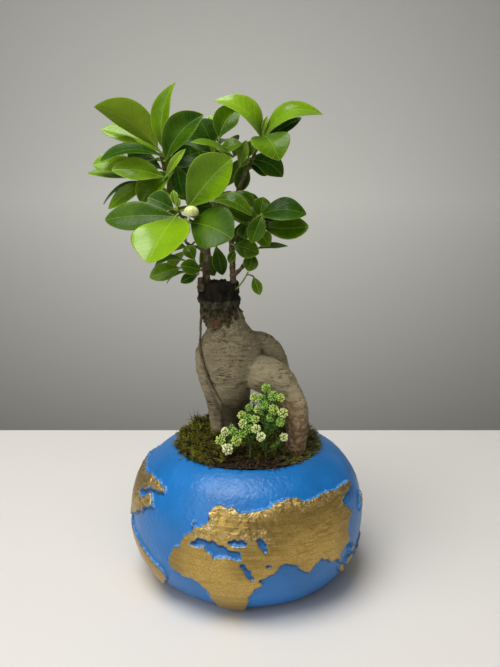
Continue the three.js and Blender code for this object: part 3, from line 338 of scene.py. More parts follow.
class Wire:
    """An output of a node. Arithmetic on it adds Math nodes."""

    def __init__(self, paint, socket):
        self.paint = paint
        self.socket = socket

    def math(self, operation, first, second):
        """The result of a Math node of two values, each a number or a wire."""
        return self.paint.node("Math", {"operation": operation}, {0: first, 1: second})

    def __add__(self, other):
        return self.math("ADD", self, other)

    def __sub__(self, other):
        return self.math("SUBTRACT", self, other)

    def __rsub__(self, other):
        return self.math("SUBTRACT", other, self)

    def __mul__(self, other):
        return self.math("MULTIPLY", self, other)

    def __truediv__(self, other):
        return self.math("DIVIDE", self, other)

    def __rtruediv__(self, other):
        return self.math("DIVIDE", other, self)

    def __abs__(self):
        return self.paint.node("Math", {"operation": "ABSOLUTE"}, {0: self})

    __radd__ = __add__
    __rmul__ = __mul__


class Paint:
    """One material: a Principled surface and the nodes that feed it."""

    def __init__(self, name):
        self.material = bpy.data.materials.new(name)
        self.material.use_nodes = True
        self.tree = self.material.node_tree
        self.tree.nodes.clear()

    def node(self, kind, settings=None, inputs=None, output=0):
        """Adds a node of a kind, sets its settings, then the values or links of its sockets."""
        made = self.tree.nodes.new("ShaderNode" + kind)
        for key, value in (settings or {}).items():
            if key == "stops":
                self.set_stops(made.color_ramp, value)
            else:
                setattr(made, key, value)
        for key, value in (inputs or {}).items():
            if isinstance(value, Wire):
                self.tree.links.new(value.socket, made.inputs[key])
            else:
                made.inputs[key].default_value = value
        return Wire(self, made.outputs[output]) if made.outputs else None

    def set_stops(self, ramp, stops):
        """Gives a colour ramp its stops: pairs of a position and a colour."""
        ramp.elements.remove(ramp.elements[-1])
        ramp.elements[0].position = stops[0][0]
        ramp.elements[0].color = opaque(stops[0][1])
        for position, colour in stops[1:]:
            ramp.elements.new(position).color = opaque(colour)

    def here(self):
        """The place on the object, in metres."""
        return self.node("TexCoord", output="Object")

    def axis(self, number):
        """The place along one axis of the object: 0 is x, 1 is y and 2 is z."""
        return self.node("SeparateXYZ", {}, {0: self.here()}, output=number)

    def attribute(self, name):
        """The value that the mesh carries at its points under that name."""
        return self.node("Attribute", {"attribute_name": name}, output="Fac")

    def stretched(self, scale):
        """Object coordinates, scaled by a factor along each axis."""
        return self.node("Mapping", {}, {"Vector": self.here(), "Scale": scale})

    def noise(self, scale, detail=4.0, roughness=0.55, at=None):
        """A cloudy pattern from 0 to 1, with a mean of a half."""
        inputs = {"Vector": at or self.here(), "Scale": scale, "Detail": detail, "Roughness": roughness}
        return self.node("TexNoise", {}, inputs)

    def cells(self, scale):
        """Distance to the nearest of the points strewn at that scale."""
        return self.node("TexVoronoi", {}, {"Vector": self.here(), "Scale": scale})

    def step(self, value, low, high):
        """0 up to low, 1 from high on, and smooth between."""
        return self.node("MapRange", {"interpolation_type": "SMOOTHSTEP"}, {0: value, 1: low, 2: high})

    def ramp(self, value, stops):
        """The colour at a value between the stops."""
        return self.node("ValToRGB", {"stops": stops}, {0: value})

    def mix(self, share, first, second, blend="MIX"):
        """The first colour, with that share of the second mixed into it."""
        colours = [colour if isinstance(colour, Wire) else opaque(colour) for colour in (first, second)]
        inputs = {0: share, 6: colours[0], 7: colours[1]}
        return self.node("Mix", {"data_type": "RGBA", "blend_type": blend}, inputs, output=2)

    def bump(self, height, distance, strength=1.0):
        """A normal tilted by a height whose full step is the distance."""
        inputs = {"Height": height, "Distance": distance, "Strength": strength}
        return self.node("Bump", {}, inputs, output="Normal")

    def surface(self, **sockets):
        """The Principled surface. Underscores in a socket's name stand for spaces."""
        inputs = {key.replace("_", " "): value for key, value in sockets.items()}
        shader = self.node("BsdfPrincipled", {}, inputs)
        self.node("OutputMaterial", {}, {"Surface": shader})
        return self


def opaque(colour):
    """A colour with an alpha of 1."""
    return (*tuple(colour)[:3], 1.0)


def shade(colour, factor):
    """A colour made lighter or darker by a factor."""
    return tuple(min(1.0, part * factor) for part in tuple(colour)[:3])


# The pot

# Profiles of [radius, height]
POT_WALL = [
    [45.5, 0], [50, 0.5], [56.5, 2.5], [63.4, 8], [70.4, 19], [74.4, 33], [74.9, 46], [71.6, 62.5],
    [63.6, 75.6], [55.5, 82.3], [50.5, 85], [48, 85.9], [46.4, 85.9], [45.3, 85], [45, 83.6],
]
POT_CAVITY = [[44.4, 82], [55.5, 76], [65, 64], [69.3, 45], [67, 25], [57, 12], [46, 7]]
WALL_RINGS = 146
CAVITY_RINGS = 14
# The wall stays plain up to this distance along its profile, where the pot stands
FOOT_EDGE = 4
# The share of the relief that the plain land has. Its crust fills the rest.
PLAIN_LAND = 0.97
# The value for the coast inside the pot
FAR_FROM_LAND = -50.0

# Outlines of the land: [bearing in degrees to the right of the front, height]
OLD_WORLD = [
    [-19, 68], [-17, 71], [-14, 72.5], [-10, 71.5], [-6, 71.5], [-3, 69.5], [2, 70], [6, 70.5], [10, 71],
    [13, 73], [18, 74.5], [23, 74.3], [27, 73.8], [28, 72], [35, 72], [42, 72.5], [46, 72.8], [50, 72],
    [56, 71.5], [62, 71.5], [66, 71], [65, 68.5], [62, 66.5], [58, 67.5], [53, 65], [53, 63], [56, 60],
    [57, 56], [53, 52], [52, 48], [54, 44], [53, 40.5], [49, 38], [47, 35], [49, 32], [47.5, 29.5],
    [44, 33], [41, 33], [38, 36], [34, 38], [31, 36], [28, 31.5], [25, 34], [22, 38], [17, 41], [14, 40],
    [13, 37], [9, 34], [5, 31.5], [7, 28], [4, 26], [3, 24.5], [1, 21], [1, 17], [0, 12], [-1, 7],
    [-6, 3.5], [-12, 4], [-16, 8], [-18, 16], [-19, 22], [-21, 26], [-26, 27.5], [-30, 28], [-34, 30],
    [-37, 33], [-37, 38], [-35, 43], [-33, 46], [-31, 48], [-30, 53], [-28, 56], [-26, 57], [-24, 60],
    [-19, 62], [-18, 64],
]
INNER_SEAS = [
    [
        [-26, 49.5], [-24, 52], [-22, 54], [-19, 55], [-17, 54], [-15, 55], [-13, 52], [-9, 51.5],
        [-7, 49.5], [-3, 49], [-3, 45.5], [-6, 45.5], [-10, 46], [-13, 45.5], [-14, 44.5], [-16, 46.5],
        [-18, 48], [-19, 50.5], [-23, 49.5],
    ],
    [[-8, 54], [-6, 56], [-4, 55.5], [-2, 56], [0, 54], [-1, 52.5], [-5, 52.5]],
    [[4, 56], [6, 57], [8, 53], [8.5, 50], [7, 49], [5.5, 52]],
    [[-3, 42], [-2, 42.5], [1, 38], [3, 33], [2, 32], [0, 35], [-2, 39]],
    [[7, 43], [8, 42.5], [10, 40.5], [9, 40]],
]
NORTH_AMERICA = [
    [-152, 66], [-146, 70], [-132, 71], [-118, 70.5], [-104, 72.5], [-90, 72.5], [-80, 74], [-70, 73],
    [-66, 75], [-60, 74.5], [-54, 74.5], [-48, 73], [-47, 71], [-52, 70.5], [-56, 69.5], [-59, 70],
    [-62, 67], [-67, 66], [-68, 62.5], [-64, 62], [-61, 64], [-57, 67.5], [-53, 65], [-51, 62], [-56, 60],
    [-60, 56], [-68, 50], [-75, 46], [-78, 43], [-85, 38], [-90, 39.5], [-95, 44], [-99, 43], [-103, 38],
    [-97, 34.5], [-92, 33], [-97, 32], [-106, 36.5], [-113, 42], [-118, 49], [-126, 55], [-134, 60],
    [-144, 61],
]
SOUTH_AMERICA = [
    [-90, 37], [-84, 38], [-75, 37], [-67, 35], [-62, 33], [-52, 30], [-44, 26], [-42, 21], [-46, 14],
    [-53, 9], [-62, 6], [-72, 4], [-80, 3], [-86, 6], [-90, 14], [-95, 24], [-96, 31],
]
AUSTRALIA = [
    [70, 14], [72, 20], [77, 24], [82, 27.5], [86, 26], [89, 27.5], [94, 23], [98, 17], [96, 10], [89, 7.5],
    [82, 10], [76, 9],
]
ISLANDS = [
    [[-26.2, 60.6], [-25.9, 63.3], [-25, 63], [-25.2, 60.6]],
    [[47, 28], [50, 26.5], [55, 21], [57, 17.5], [54, 17.5], [49, 23]],
    [[56, 26], [59, 28.5], [62.5, 25.5], [61.5, 20.5], [57, 21.5]],
    [[56.5, 34], [59, 34.5], [60, 31], [57.5, 30.5]],
    [[69, 23.5], [74, 24.5], [79, 21.5], [76, 19], [70, 21]],
    [[69, 52], [72, 57], [76, 60.5], [75, 55], [71, 50]],
    [[104, 9], [107, 13], [110, 12], [107, 7]],
]


def coast_distance(bearing, arc, radius, outlines):
    """The distance along the wall to the nearest coast, positive on land. Each side of each outline is laid
    out flat about every point of the wall, with that point's scale of bearing, and its nearest point is
    taken. A point is on land if a level line from it crosses the coasts an odd number of times."""
    nearest = np.full(bearing.shape, np.inf)
    on_land = np.zeros(bearing.shape, bool)
    per_degree = np.radians(radius)
    for outline in outlines:
        for start, end in zip(outline, np.roll(outline, -1, axis=0)):
            x0, y0 = (start[0] - bearing) * per_degree, start[1] - arc
            x1, y1 = (end[0] - bearing) * per_degree, end[1] - arc
            dx, dy = x1 - x0, y1 - y0
            share = np.clip(-(x0 * dx + y0 * dy) / np.maximum(dx * dx + dy * dy, 1e-9), 0, 1)
            nearest = np.minimum(nearest, np.hypot(x0 + share * dx, y0 + share * dy))
            crosses = (y0 > 0) != (y1 > 0)
            crossing = x0 - y0 * dx / np.where(crosses, dy, 1)
            on_land ^= crosses & (crossing > 0)
    return np.where(on_land, nearest, -nearest)


def turned(radius, height, angle):
    """Points at a radius and a height, turned about the Z axis by an angle from the front."""
    return np.stack([radius * np.sin(angle), -radius * np.cos(angle), height + 0 * angle], axis=-1)


def outlines_on_wall(profile, arc):
    """The outlines of the land, each height changed to the distance up the outside of the wall."""
    outside = arc[: np.argmax(profile[:, 1])]
    heights = profile[: len(outside), 1]
    outlines = []
    for outline in [OLD_WORLD, *INNER_SEAS, NORTH_AMERICA, SOUTH_AMERICA, AUSTRALIA, *ISLANDS]:
        bearings, levels = np.array(outline, float).T
        outlines.append(np.stack([bearings, np.interp(levels, heights, outside)], axis=-1))
    return outlines


def wall_lift(wall, run, height, coast, north_coast, relief):
    """How far the wall stands out of its profile: on land by the relief and a crust of lumps, coarsest
    along the northern coast, and everywhere by slow waves of plaster. Lumps and waves fade towards both
    ends, and the foot stays plain."""
    land = rise(coast, -0.55, 0.45)
    lumps = 0.06 + 0.16 * north_coast
    crust = 0.12 * ripples(wall, 14, 13) + lumps * ripples(wall, 3.8, 14)
    crust = crust + 0.5 * lumps * ripples(wall, 2.1, 15)
    plaster = 0.10 * ripples(wall, 30, 16) + 0.02 * ripples(wall, 5, 17)
    brim = 0.12 * rise(height, 70, 84) * ripples(wall, 20, 18)
    end = run[-1, 0]
    free = rise(run, FOOT_EDGE, 12) * (1 - rise(run, end - 5, end - 1))
    lift = land * relief * PLAIN_LAND + free * (land * crust + plaster + brim)
    return np.where(run < FOOT_EDGE, 0, lift)


def pot_shape(settings):
    """The wall is its profile turned round the Z axis, moved out along its own normal by the wall's lift.
    The coasts wander a little from their outlines by ripples, and the sea just under the land carries a value
    for painted shade. The cavity's profile is turned too."""
    profile = smooth_path([[radius, height, 0] for radius, height in POT_WALL], WALL_RINGS)[:, :2]
    arc = np.concatenate([[0], np.cumsum(np.linalg.norm(np.diff(profile, axis=0), axis=1))])
    tangent = unit(np.gradient(profile, axis=0))
    normal = np.stack([tangent[:, 1], -tangent[:, 0]], axis=-1)
    degrees = np.arange(settings.around) * 360 / settings.around - 180
    bearing, row = np.meshgrid(degrees, np.arange(WALL_RINGS))
    angle = np.radians(bearing)
    radius, height = profile[row, 0], profile[row, 1]
    wall = turned(radius, height, angle)
    coast = coast_distance(bearing, arc[row], radius, outlines_on_wall(profile, arc))
    coast += 0.28 * ripples(wall, 7, 11) + 0.26 * ripples(wall, 2.7, 12)
    north_coast = rise(height, 50, 62) * (1 - rise(coast, 2, 7))
    lift = wall_lift(wall, arc[row], height, coast, north_coast, settings.relief / MM)
    # Painted shade: how much the wall two rings higher stands out further, which darkens the sea under the
    # land
    recess = rise(np.roll(lift, -2, axis=0) - lift, 0.35, 1.5)
    outside = turned(radius + lift * normal[row, 0], np.maximum(height + lift * normal[row, 1], 0), angle)
    cavity = smooth_path([[radius, height, 0] for radius, height in POT_CAVITY], CAVITY_RINGS)
    inside = turned(cavity[:, :1], cavity[:, 1:2], angle[:1])
    unpainted = np.zeros(inside.shape[:2])
    shape = Shape("coast", "crusty", "recess")
    shape.add_skin(
        np.concatenate([outside, inside]),
        coast=np.concatenate([coast, unpainted + FAR_FROM_LAND]),
        crusty=np.concatenate([north_coast, unpainted]),
        recess=np.concatenate([recess, unpainted]),
    )
    return shape


def pot_paint(settings):
    """Blue paint with pinholes painted dark as the shade inside them, pale chipped flecks on the coast walls
    that are partly worn paint and partly painted highlight, and painted shade on the sea under the land.
    Brushed gold on the land, with tarnish, specks and a painted sparkle of light on its crust.
    """
    paint = Paint("painted_globe")
    coast, recess, crusty = paint.attribute("coast"), paint.attribute("recess"), paint.attribute("crusty")
    grain = paint.noise(1300, 4)
    strokes = paint.noise(1.0, 5, 0.6, at=paint.stretched((60, 60, 640)))
    peel = paint.noise(480, 3, 0.5)
    ragged = coast + (grain - 0.5) * 0.5
    land = paint.step(ragged, 0.3, 0.5)

    # The blue wall
    clouds = paint.step(paint.noise(45, 3), 0.3, 0.7)
    sea = paint.mix(clouds, shade(settings.sea, 0.88), shade(settings.sea, 1.1))
    # Pinholes, painted near black as the shade inside them; the bump below sinks them too
    pits = 1 - paint.step(paint.cells(260), 0.05, 0.10)
    pits = pits * paint.step(paint.noise(75, 2), 0.54, 0.64)
    sea = paint.mix(pits, sea, shade(settings.sea, 0.1))
    # Pale chipped flecks on the coast walls: partly worn paint, partly a painted highlight for the walls of
    # the relief that face the light
    edge = paint.step(coast, -0.9, -0.2) * (1 - paint.step(coast, 0.3, 0.7))
    chips_and_wall_light = edge * paint.step(paint.noise(420, 4, 0.7), 0.42, 0.60)
    sea = paint.mix(chips_and_wall_light * 0.5, sea, (0.25, 0.46, 0.74))

    # The gold on the land
    bright = shade(settings.gold, 1.35)
    gold = paint.ramp(grain, [(0.3, shade(settings.gold, 0.62)), (0.5, settings.gold), (0.7, bright)])
    gold = paint.mix(paint.step(strokes, 0.42, 0.68) * 0.5, gold, shade(settings.gold, 0.5))
    tarnish = paint.step(paint.noise(28, 3, 0.5), 0.42, 0.66)
    gold = paint.mix(tarnish * 0.5, gold, shade(settings.gold, 0.42))
    # Painted highlight: bright sparkle of light on the lumps of the crust along the northern coast
    painted_glints = crusty * paint.step(paint.noise(700, 3, 0.6), 0.50, 0.62)
    gold = paint.mix(painted_glints * 0.55, gold, (0.95, 0.82, 0.50))
    specks = paint.step(paint.noise(520, 2), 0.70, 0.74) * paint.step(strokes, 0.45, 0.6)
    gold = paint.mix(specks * 0.6, gold, shade(settings.sea, 0.6))

    height = peel * (1 - land) * 1.1 + grain * 0.12 - pits * 0.9 + paint.step(coast, -0.2, 0.3)
    height = height + land * (grain * 0.4 + strokes * 0.9 + crusty * paint.noise(620, 3, 0.6) * 3.0)
    return paint.surface(
        # Painted shade: under the land the colour is darkened nearly to black, and the metal is taken out
        # there
        Base_Color=paint.mix(recess * 0.8, paint.mix(land, sea, gold), (0.006, 0.012, 0.02)),
        Metallic=land * (1 - recess) * 0.85,
        Roughness=grain * 0.16 + 0.28,
        Normal=paint.bump(height, 0.0006, 0.6),
    )


class BONSAI_OT_pot(bpy.types.Operator):
    """Makes the painted pot with its raised land masses"""

    bl_idname = "bonsai.pot"
    bl_label = "Painted Pot"

    def execute(self, context):
        settings = context.scene.bonsai_pot
        piece("globe_pot", pot_shape(settings).mesh("globe_pot"), pot_paint(settings), "painted_pot", "pot")
        return {"FINISHED"}


# The rootstock

# Body sections: [left, right, height, depth of the middle, half depth]
BODY_SECTIONS = [
    [-12, -6, 66, 2, 3.5], [-12.5, -5.5, 80, 2, 5], [-13.5, -5, 92, 2, 6.5], [-15.5, -3.6, 101, 2, 8],
    [-18.5, 0.2, 109, 1, 10], [-21.5, 1.8, 117, 0, 12.5], [-24.8, 3, 126, -1, 15.5],
    [-27.4, 6, 135, -1, 17.5], [-29, 8.2, 143, -1, 18.5], [-29.4, 8.2, 150, 0, 18], [-28, 6, 157, 1, 16],
    [-26, 1.6, 163, 2, 13.5], [-29.6, -2.6, 169, 2, 12.8], [-30.4, -4.6, 176, 2, 12.2],
    [-31.6, -5.2, 184, 2, 12], [-30.6, -6, 191, 2, 11],
]
COLLAR_FOOT = 164
BODY_RINGS = 90
BODY_SIDES = 64
# Rounds of smoothing that turn the joints of the fused roots into hollows
SOFTENING = 34
# Rounds of averaging over neighbours by which the hollows are found for their painted shade, and by which
# that shade is then softened
HOLLOW_REACH = 24
HOLLOW_BLUR = 3
# Limbs: stations of [x, height, depth, radius]
ROOTS = [
    [
        [-2, 134, -3, 9], [9, 132, -9, 11.2], [18.5, 127, -14, 11], [27.6, 114, -19, 9.4],
        [31.6, 101, -22.5, 7.2], [31.6, 90, -23.5, 6.9], [30.2, 78.4, -22, 6.7], [28.5, 68, -22, 5.2],
        [27.5, 60, -22, 3],
    ],
    [
        [-2, 150, 6, 10], [8, 149, 8, 10.6], [14.6, 143.5, 11, 9.9], [19, 133, 14, 8], [22.5, 119, 17, 7.2],
        [26, 105, 20, 6.8], [27, 94, 22, 6.4], [26.5, 82, 23, 5], [26, 74, 23.5, 3],
    ],
    [
        [-25.5, 154, 1, 3.5], [-28.2, 145, 0, 4.8], [-28.2, 136, 0, 4.8], [-26.3, 126, 1, 4.7],
        [-23.8, 117, 2, 4.8], [-21.6, 108, 3, 5], [-18.9, 98, 4, 5.2], [-17.5, 88, 5, 5.2],
        [-17, 78, 5.5, 4], [-16.8, 71, 6, 2.6],
    ],
    [
        [-12, 140, 10, 9], [-14, 128, 17, 8], [-16, 116, 22, 6.6], [-17, 104, 26, 6],
        [-17.5, 94, 28.5, 5.4], [-17.5, 84, 30, 3.8], [-17.5, 77, 30.5, 2.4],
    ],
]
HANGING_ROOT = [
    [-28.6, 171, -3.5, 0.9], [-29.6, 166, -3.5, 0.75], [-29.9, 159.4, -3.5, 0.7], [-30.4, 150.3, -3.5, 0.8],
    [-29.5, 143.7, -3.5, 0.85], [-28, 137.1, -3.5, 0.85], [-25.2, 129.2, -4, 0.8], [-22.4, 122.5, -4, 0.75],
    [-19.9, 117.8, -4, 0.6], [-17.6, 113.5, -3, 0.4],
]
# Above this height the hanging root hangs free. Below it, it lies on the bark.
HANGS_FREE_ABOVE = 158
# Knots in the collar, the scar below it and the fold across the body: [x, height]
KNOTS = [[-22.1, 170], [-13.4, 170.6], [-26, 181]]
SCAR = [-20.4, 164.2]
FOLD = [[-24, 125.5], [-21.8, 124.7], [-12.1, 123.6], [-2.5, 125.2], [0, 126.5]]
WOODY_STEMS = [
    [
        [-25.8, 186, -1, 2.6], [-25.9, 198, -2, 2.3], [-25.1, 213, -3, 2.1], [-28, 226, -2, 1.9],
        [-33.5, 237, -1, 1.7], [-40, 246.8, -1, 1.5],
    ],
    [[-27.3, 223, -2, 1.7], [-31.5, 226.5, -9, 1.4], [-34.6, 228.4, -17, 1.2]],
    [
        [-8.9, 186, 0, 2.2], [-9.4, 198, 0, 1.9], [-9.4, 209, 0, 1.8], [-11, 223, 1, 1.8],
        [-13.2, 236, 3, 1.8], [-10, 242, 3, 1.5], [-6, 246.7, 3, 1.3], [-2.6, 254.5, 2, 1.2],
        [1.2, 262, 1, 1.1],
    ],
    [[-13, 234.5, 3, 1.5], [-18.4, 240, 4, 1.4], [-20, 249, 5, 1.2], [-19.4, 258, 6, 1.1]],
    [[-12.8, 233.5, 2.5, 1.4], [-12.4, 237, -3, 1.2], [-11.6, 240, -7, 1]],
    [[-9.4, 195, 0, 1.5], [-5.6, 198.2, -2, 1.3], [-2.8, 201.4, -3.5, 1.1]],
    [[-10.6, 219, 0, 1.3], [-5.6, 221.5, -3.5, 1.1], [-2, 224, -6.5, 1]],
    [[-25.5, 203, -3, 1.4], [-28.6, 201.6, -6, 1.1], [-30.6, 200.8, -8, 1]],
    [[-28.6, 186, -3, 2.6], [-29.6, 193.8, -4, 1.7]],
    [[-30, 230, -1, 1.4], [-33.5, 232, 8, 1.2], [-37, 234, 16, 1]],
    [[-10.4, 217, 1, 1.3], [-6.5, 220, 8, 1.1], [-3, 222.5, 15, 1]],
    [[-12.6, 231, 2, 1.4], [-15, 235, 11, 1.2], [-18, 238, 20, 1]],
    [[-25.2, 208, -3, 1.3], [-27, 210.5, 5, 1.1], [-30, 212.5, 12, 1]],
]


def body_rings():
    """Level ellipses along a smooth path through the body's sections."""
    table = np.array(BODY_SECTIONS, float)
    left, right, height, depth, half_depth = table.T
    middle = place((left + right) / 2, height, depth)
    reach = (right - left) / 2 * (1 + depth / EYE_DISTANCE)
    path = smooth_path(np.concatenate([middle, reach[:, None], half_depth[:, None]], axis=1), BODY_RINGS)
    angle = np.arange(BODY_SIDES) * TURN / BODY_SIDES
    x = path[:, 0:1] + path[:, 3:4] * np.cos(angle)
    y = path[:, 1:2] + path[:, 4:5] * np.sin(angle)
    return np.stack([x, y, np.broadcast_to(path[:, 2:3], x.shape)], axis=-1)


def fused_mesh(shape, cell):
    """The shapes' common outer skin in cells of one size, smoothed so that the joints become hollows."""
    rough = bpy.data.objects.new("rough_roots", shape.mesh("rough_roots"))
    bpy.context.scene.collection.objects.link(rough)
    remesh = rough.modifiers.new("Fuse", "REMESH")
    remesh.mode = "VOXEL"
    remesh.voxel_size = cell
    smooth = rough.modifiers.new("Soften", "SMOOTH")
    smooth.factor = 0.5
    smooth.iterations = SOFTENING
    graph = bpy.context.evaluated_depsgraph_get()
    mesh = bpy.data.meshes.new_from_object(rough.evaluated_get(graph))
    bpy.data.objects.remove(rough)
    return mesh


def read_rows(elements, key, length, kind=np.float32):
    """One property of all the elements of a mesh: an array with a row of that length for each."""
    values = np.empty(len(elements) * length, kind)
    elements.foreach_get(key, values)
    return values.reshape(-1, length)


def spread_out(values, edges, rounds):
    """Each value replaced by the mean of its neighbours' values, several times over."""
    ends = np.concatenate([edges[:, 0], edges[:, 1]])
    others = np.concatenate([edges[:, 1], edges[:, 0]])
    valence = np.maximum(np.bincount(ends, minlength=len(values)), 1)
    for _ in range(rounds):
        columns = [np.bincount(ends, weights=column[others], minlength=len(values)) for column in values.T]
        values = np.stack(columns, axis=-1) / valence[:, None]
    return values


def seen(points):
    """The readings (x, height) of points: where their lines of sight cross the upright plane."""
    scale = 1 + points[..., 1] / EYE_DISTANCE
    across = EYE_X + (points[..., 0] - EYE_X) / scale
    return np.stack([across, EYE_HEIGHT + (points[..., 2] - EYE_HEIGHT) / scale], -1)


def laid_on(points, stations):
    """The stations on a smooth path, each brought forward to 0.1 mm before the foremost point of the bark
    within 1.3 mm of its line of sight, unless it stands there already or hangs free."""
    readings = seen(points)
    laid = []
    for x, height, depth, radius in smooth_path(stations, 40):
        near = np.hypot(readings[:, 0] - x, readings[:, 1] - height) < 1.3
        lies = near.any() and height < HANGS_FREE_ABOVE
        front = points[near, 1].min() - 0.1 if lies else depth
        laid.append([x, height, min(front, depth), radius])
    return np.array(laid)


def knot_marks(readings):
    """The raised ring round each knot, a bell curve about a circle, and the pit in it, a bell curve about
    its middle."""
    rings, pits = 0, 0
    for knot in KNOTS:
        off = np.linalg.norm(readings - knot, axis=1)
        rings = rings + np.exp(-(((off - 2.2) / 0.8) ** 2))
        pits = pits + np.exp(-((off / 1.2) ** 2))
    return rings, pits


def bark_relief(points):
    """How far the bark stands out: on the smooth roots long swells and flat rings that circle the root, on
    the collar chunks and furrows with raised rings round the knots, and a fold across the body. Also the
    share of each point that is collar, and how much painted shade darkens its pits and its fold."""
    flat = points * np.array([0.35, 0.35, 2.6])
    swell = 0.5 * ripples(points, 26, 31) + 0.16 * ripples(points, 9, 32)
    rings = 0.07 * ripples(flat, 7, 33) + 0.08 * ripples(flat, 3.4, 34)
    edge = points[:, 2] - 0.4 * (points[:, 0] + 18)
    edge = edge + 1.6 * ripples(points, 7, 35) + 1.2 * ripples(points, 2.6, 39)
    collar = rise(edge, COLLAR_FOOT - 2, COLLAR_FOOT + 2)
    chunks = 0.55 * ripples(points, 6.5, 36) + 0.38 * np.abs(ripples(points, 3.4, 37))
    chunks = chunks + 0.25 * ripples(points, 2.4, 38)
    readings = seen(points)
    front = points[:, 1] < 0
    knots, pits = knot_marks(readings)
    line = np.array(FOLD)
    off_fold = readings[:, 1] - np.interp(readings[:, 0], line[:, 0], line[:, 1], left=0, right=0)
    fold = np.exp(-((off_fold / 0.8) ** 2))
    relief = (1 - 0.6 * collar) * swell + (1 - collar) * rings + collar * (chunks - 0.25)
    relief = relief + front * (1.1 * knots - 1.0 * pits - 0.8 * fold)
    # Painted shade in the knot pits and along the fold, on the front of the body
    return relief, collar, front * (1.3 * pits + 0.6 * fold)


def scar_share(points):
    """1 on the reddish scar at the front of the body, 0 off it, with a rippled edge."""
    off = np.linalg.norm((seen(points) - SCAR) / [1.5, 1], axis=1) + 0.5 * ripples(points, 3, 43)
    return (points[:, 1] < 0) * (1 - rise(off, 1.2, 3.0))


def stem_bumps(rings):
    """Small bumps along a woody stem, as a share of its radius."""
    return 0.10 * ripples(rings, 4.5, 41) + 0.05 * ripples(rings, 1.8, 42)


def rootstock_mesh(settings):
    """The body and the roots fused and given their bark, with the stems and the hanging root beside them. A
    point is in a hollow where the mean of the points round it lies outside it, and the hollows are given
    painted shade."""
    shape = Shape()
    shape.add_skin(body_rings())
    for stations in ROOTS:
        shape.add_skin(limb_rings(stations, 60, 40))
    fused = fused_mesh(shape, settings.voxel)
    if len(fused.loops) != 4 * len(fused.polygons):
        raise RuntimeError("the fused roots are not all quads")
    points = read_rows(fused.vertices, "co", 3).astype(float) / MM
    normals = read_rows(fused.vertex_normals, "vector", 3).astype(float)
    edges = read_rows(fused.edges, "vertices", 2, np.int32)
    corners = read_rows(fused.loops, "vertex_index", 1, np.int32).reshape(-1, 4)
    bpy.data.meshes.remove(fused)

    # Painted shade: how deep each point lies in a hollow
    hollow = ((spread_out(points, edges, HOLLOW_REACH) - points) * normals).sum(-1)
    hollow = spread_out(hollow[:, None], edges, HOLLOW_BLUR)[:, 0]
    relief, collar, dark = bark_relief(points)
    points = points + normals * relief[:, None]
    whole = Shape("hollow", "collar", "scar", "stem")
    # The hollow value is the painted shade: the hollows' depth plus the painted shade of the knot pits and
    # the fold
    whole.add(points, corners, hollow=hollow + dark, collar=collar, scar=scar_share(points))
    for stations in WOODY_STEMS:
        whole.add_skin(limb_rings(stations, 14 * len(stations), 16, stem_bumps), stem=1.0)
    hanging = limb_rings(laid_on(points, HANGING_ROOT), 90, 12, stem_bumps)
    whole.add_skin(hanging, stem=0.8, scar=0.3)
    return whole.mesh("rootstock_bark")


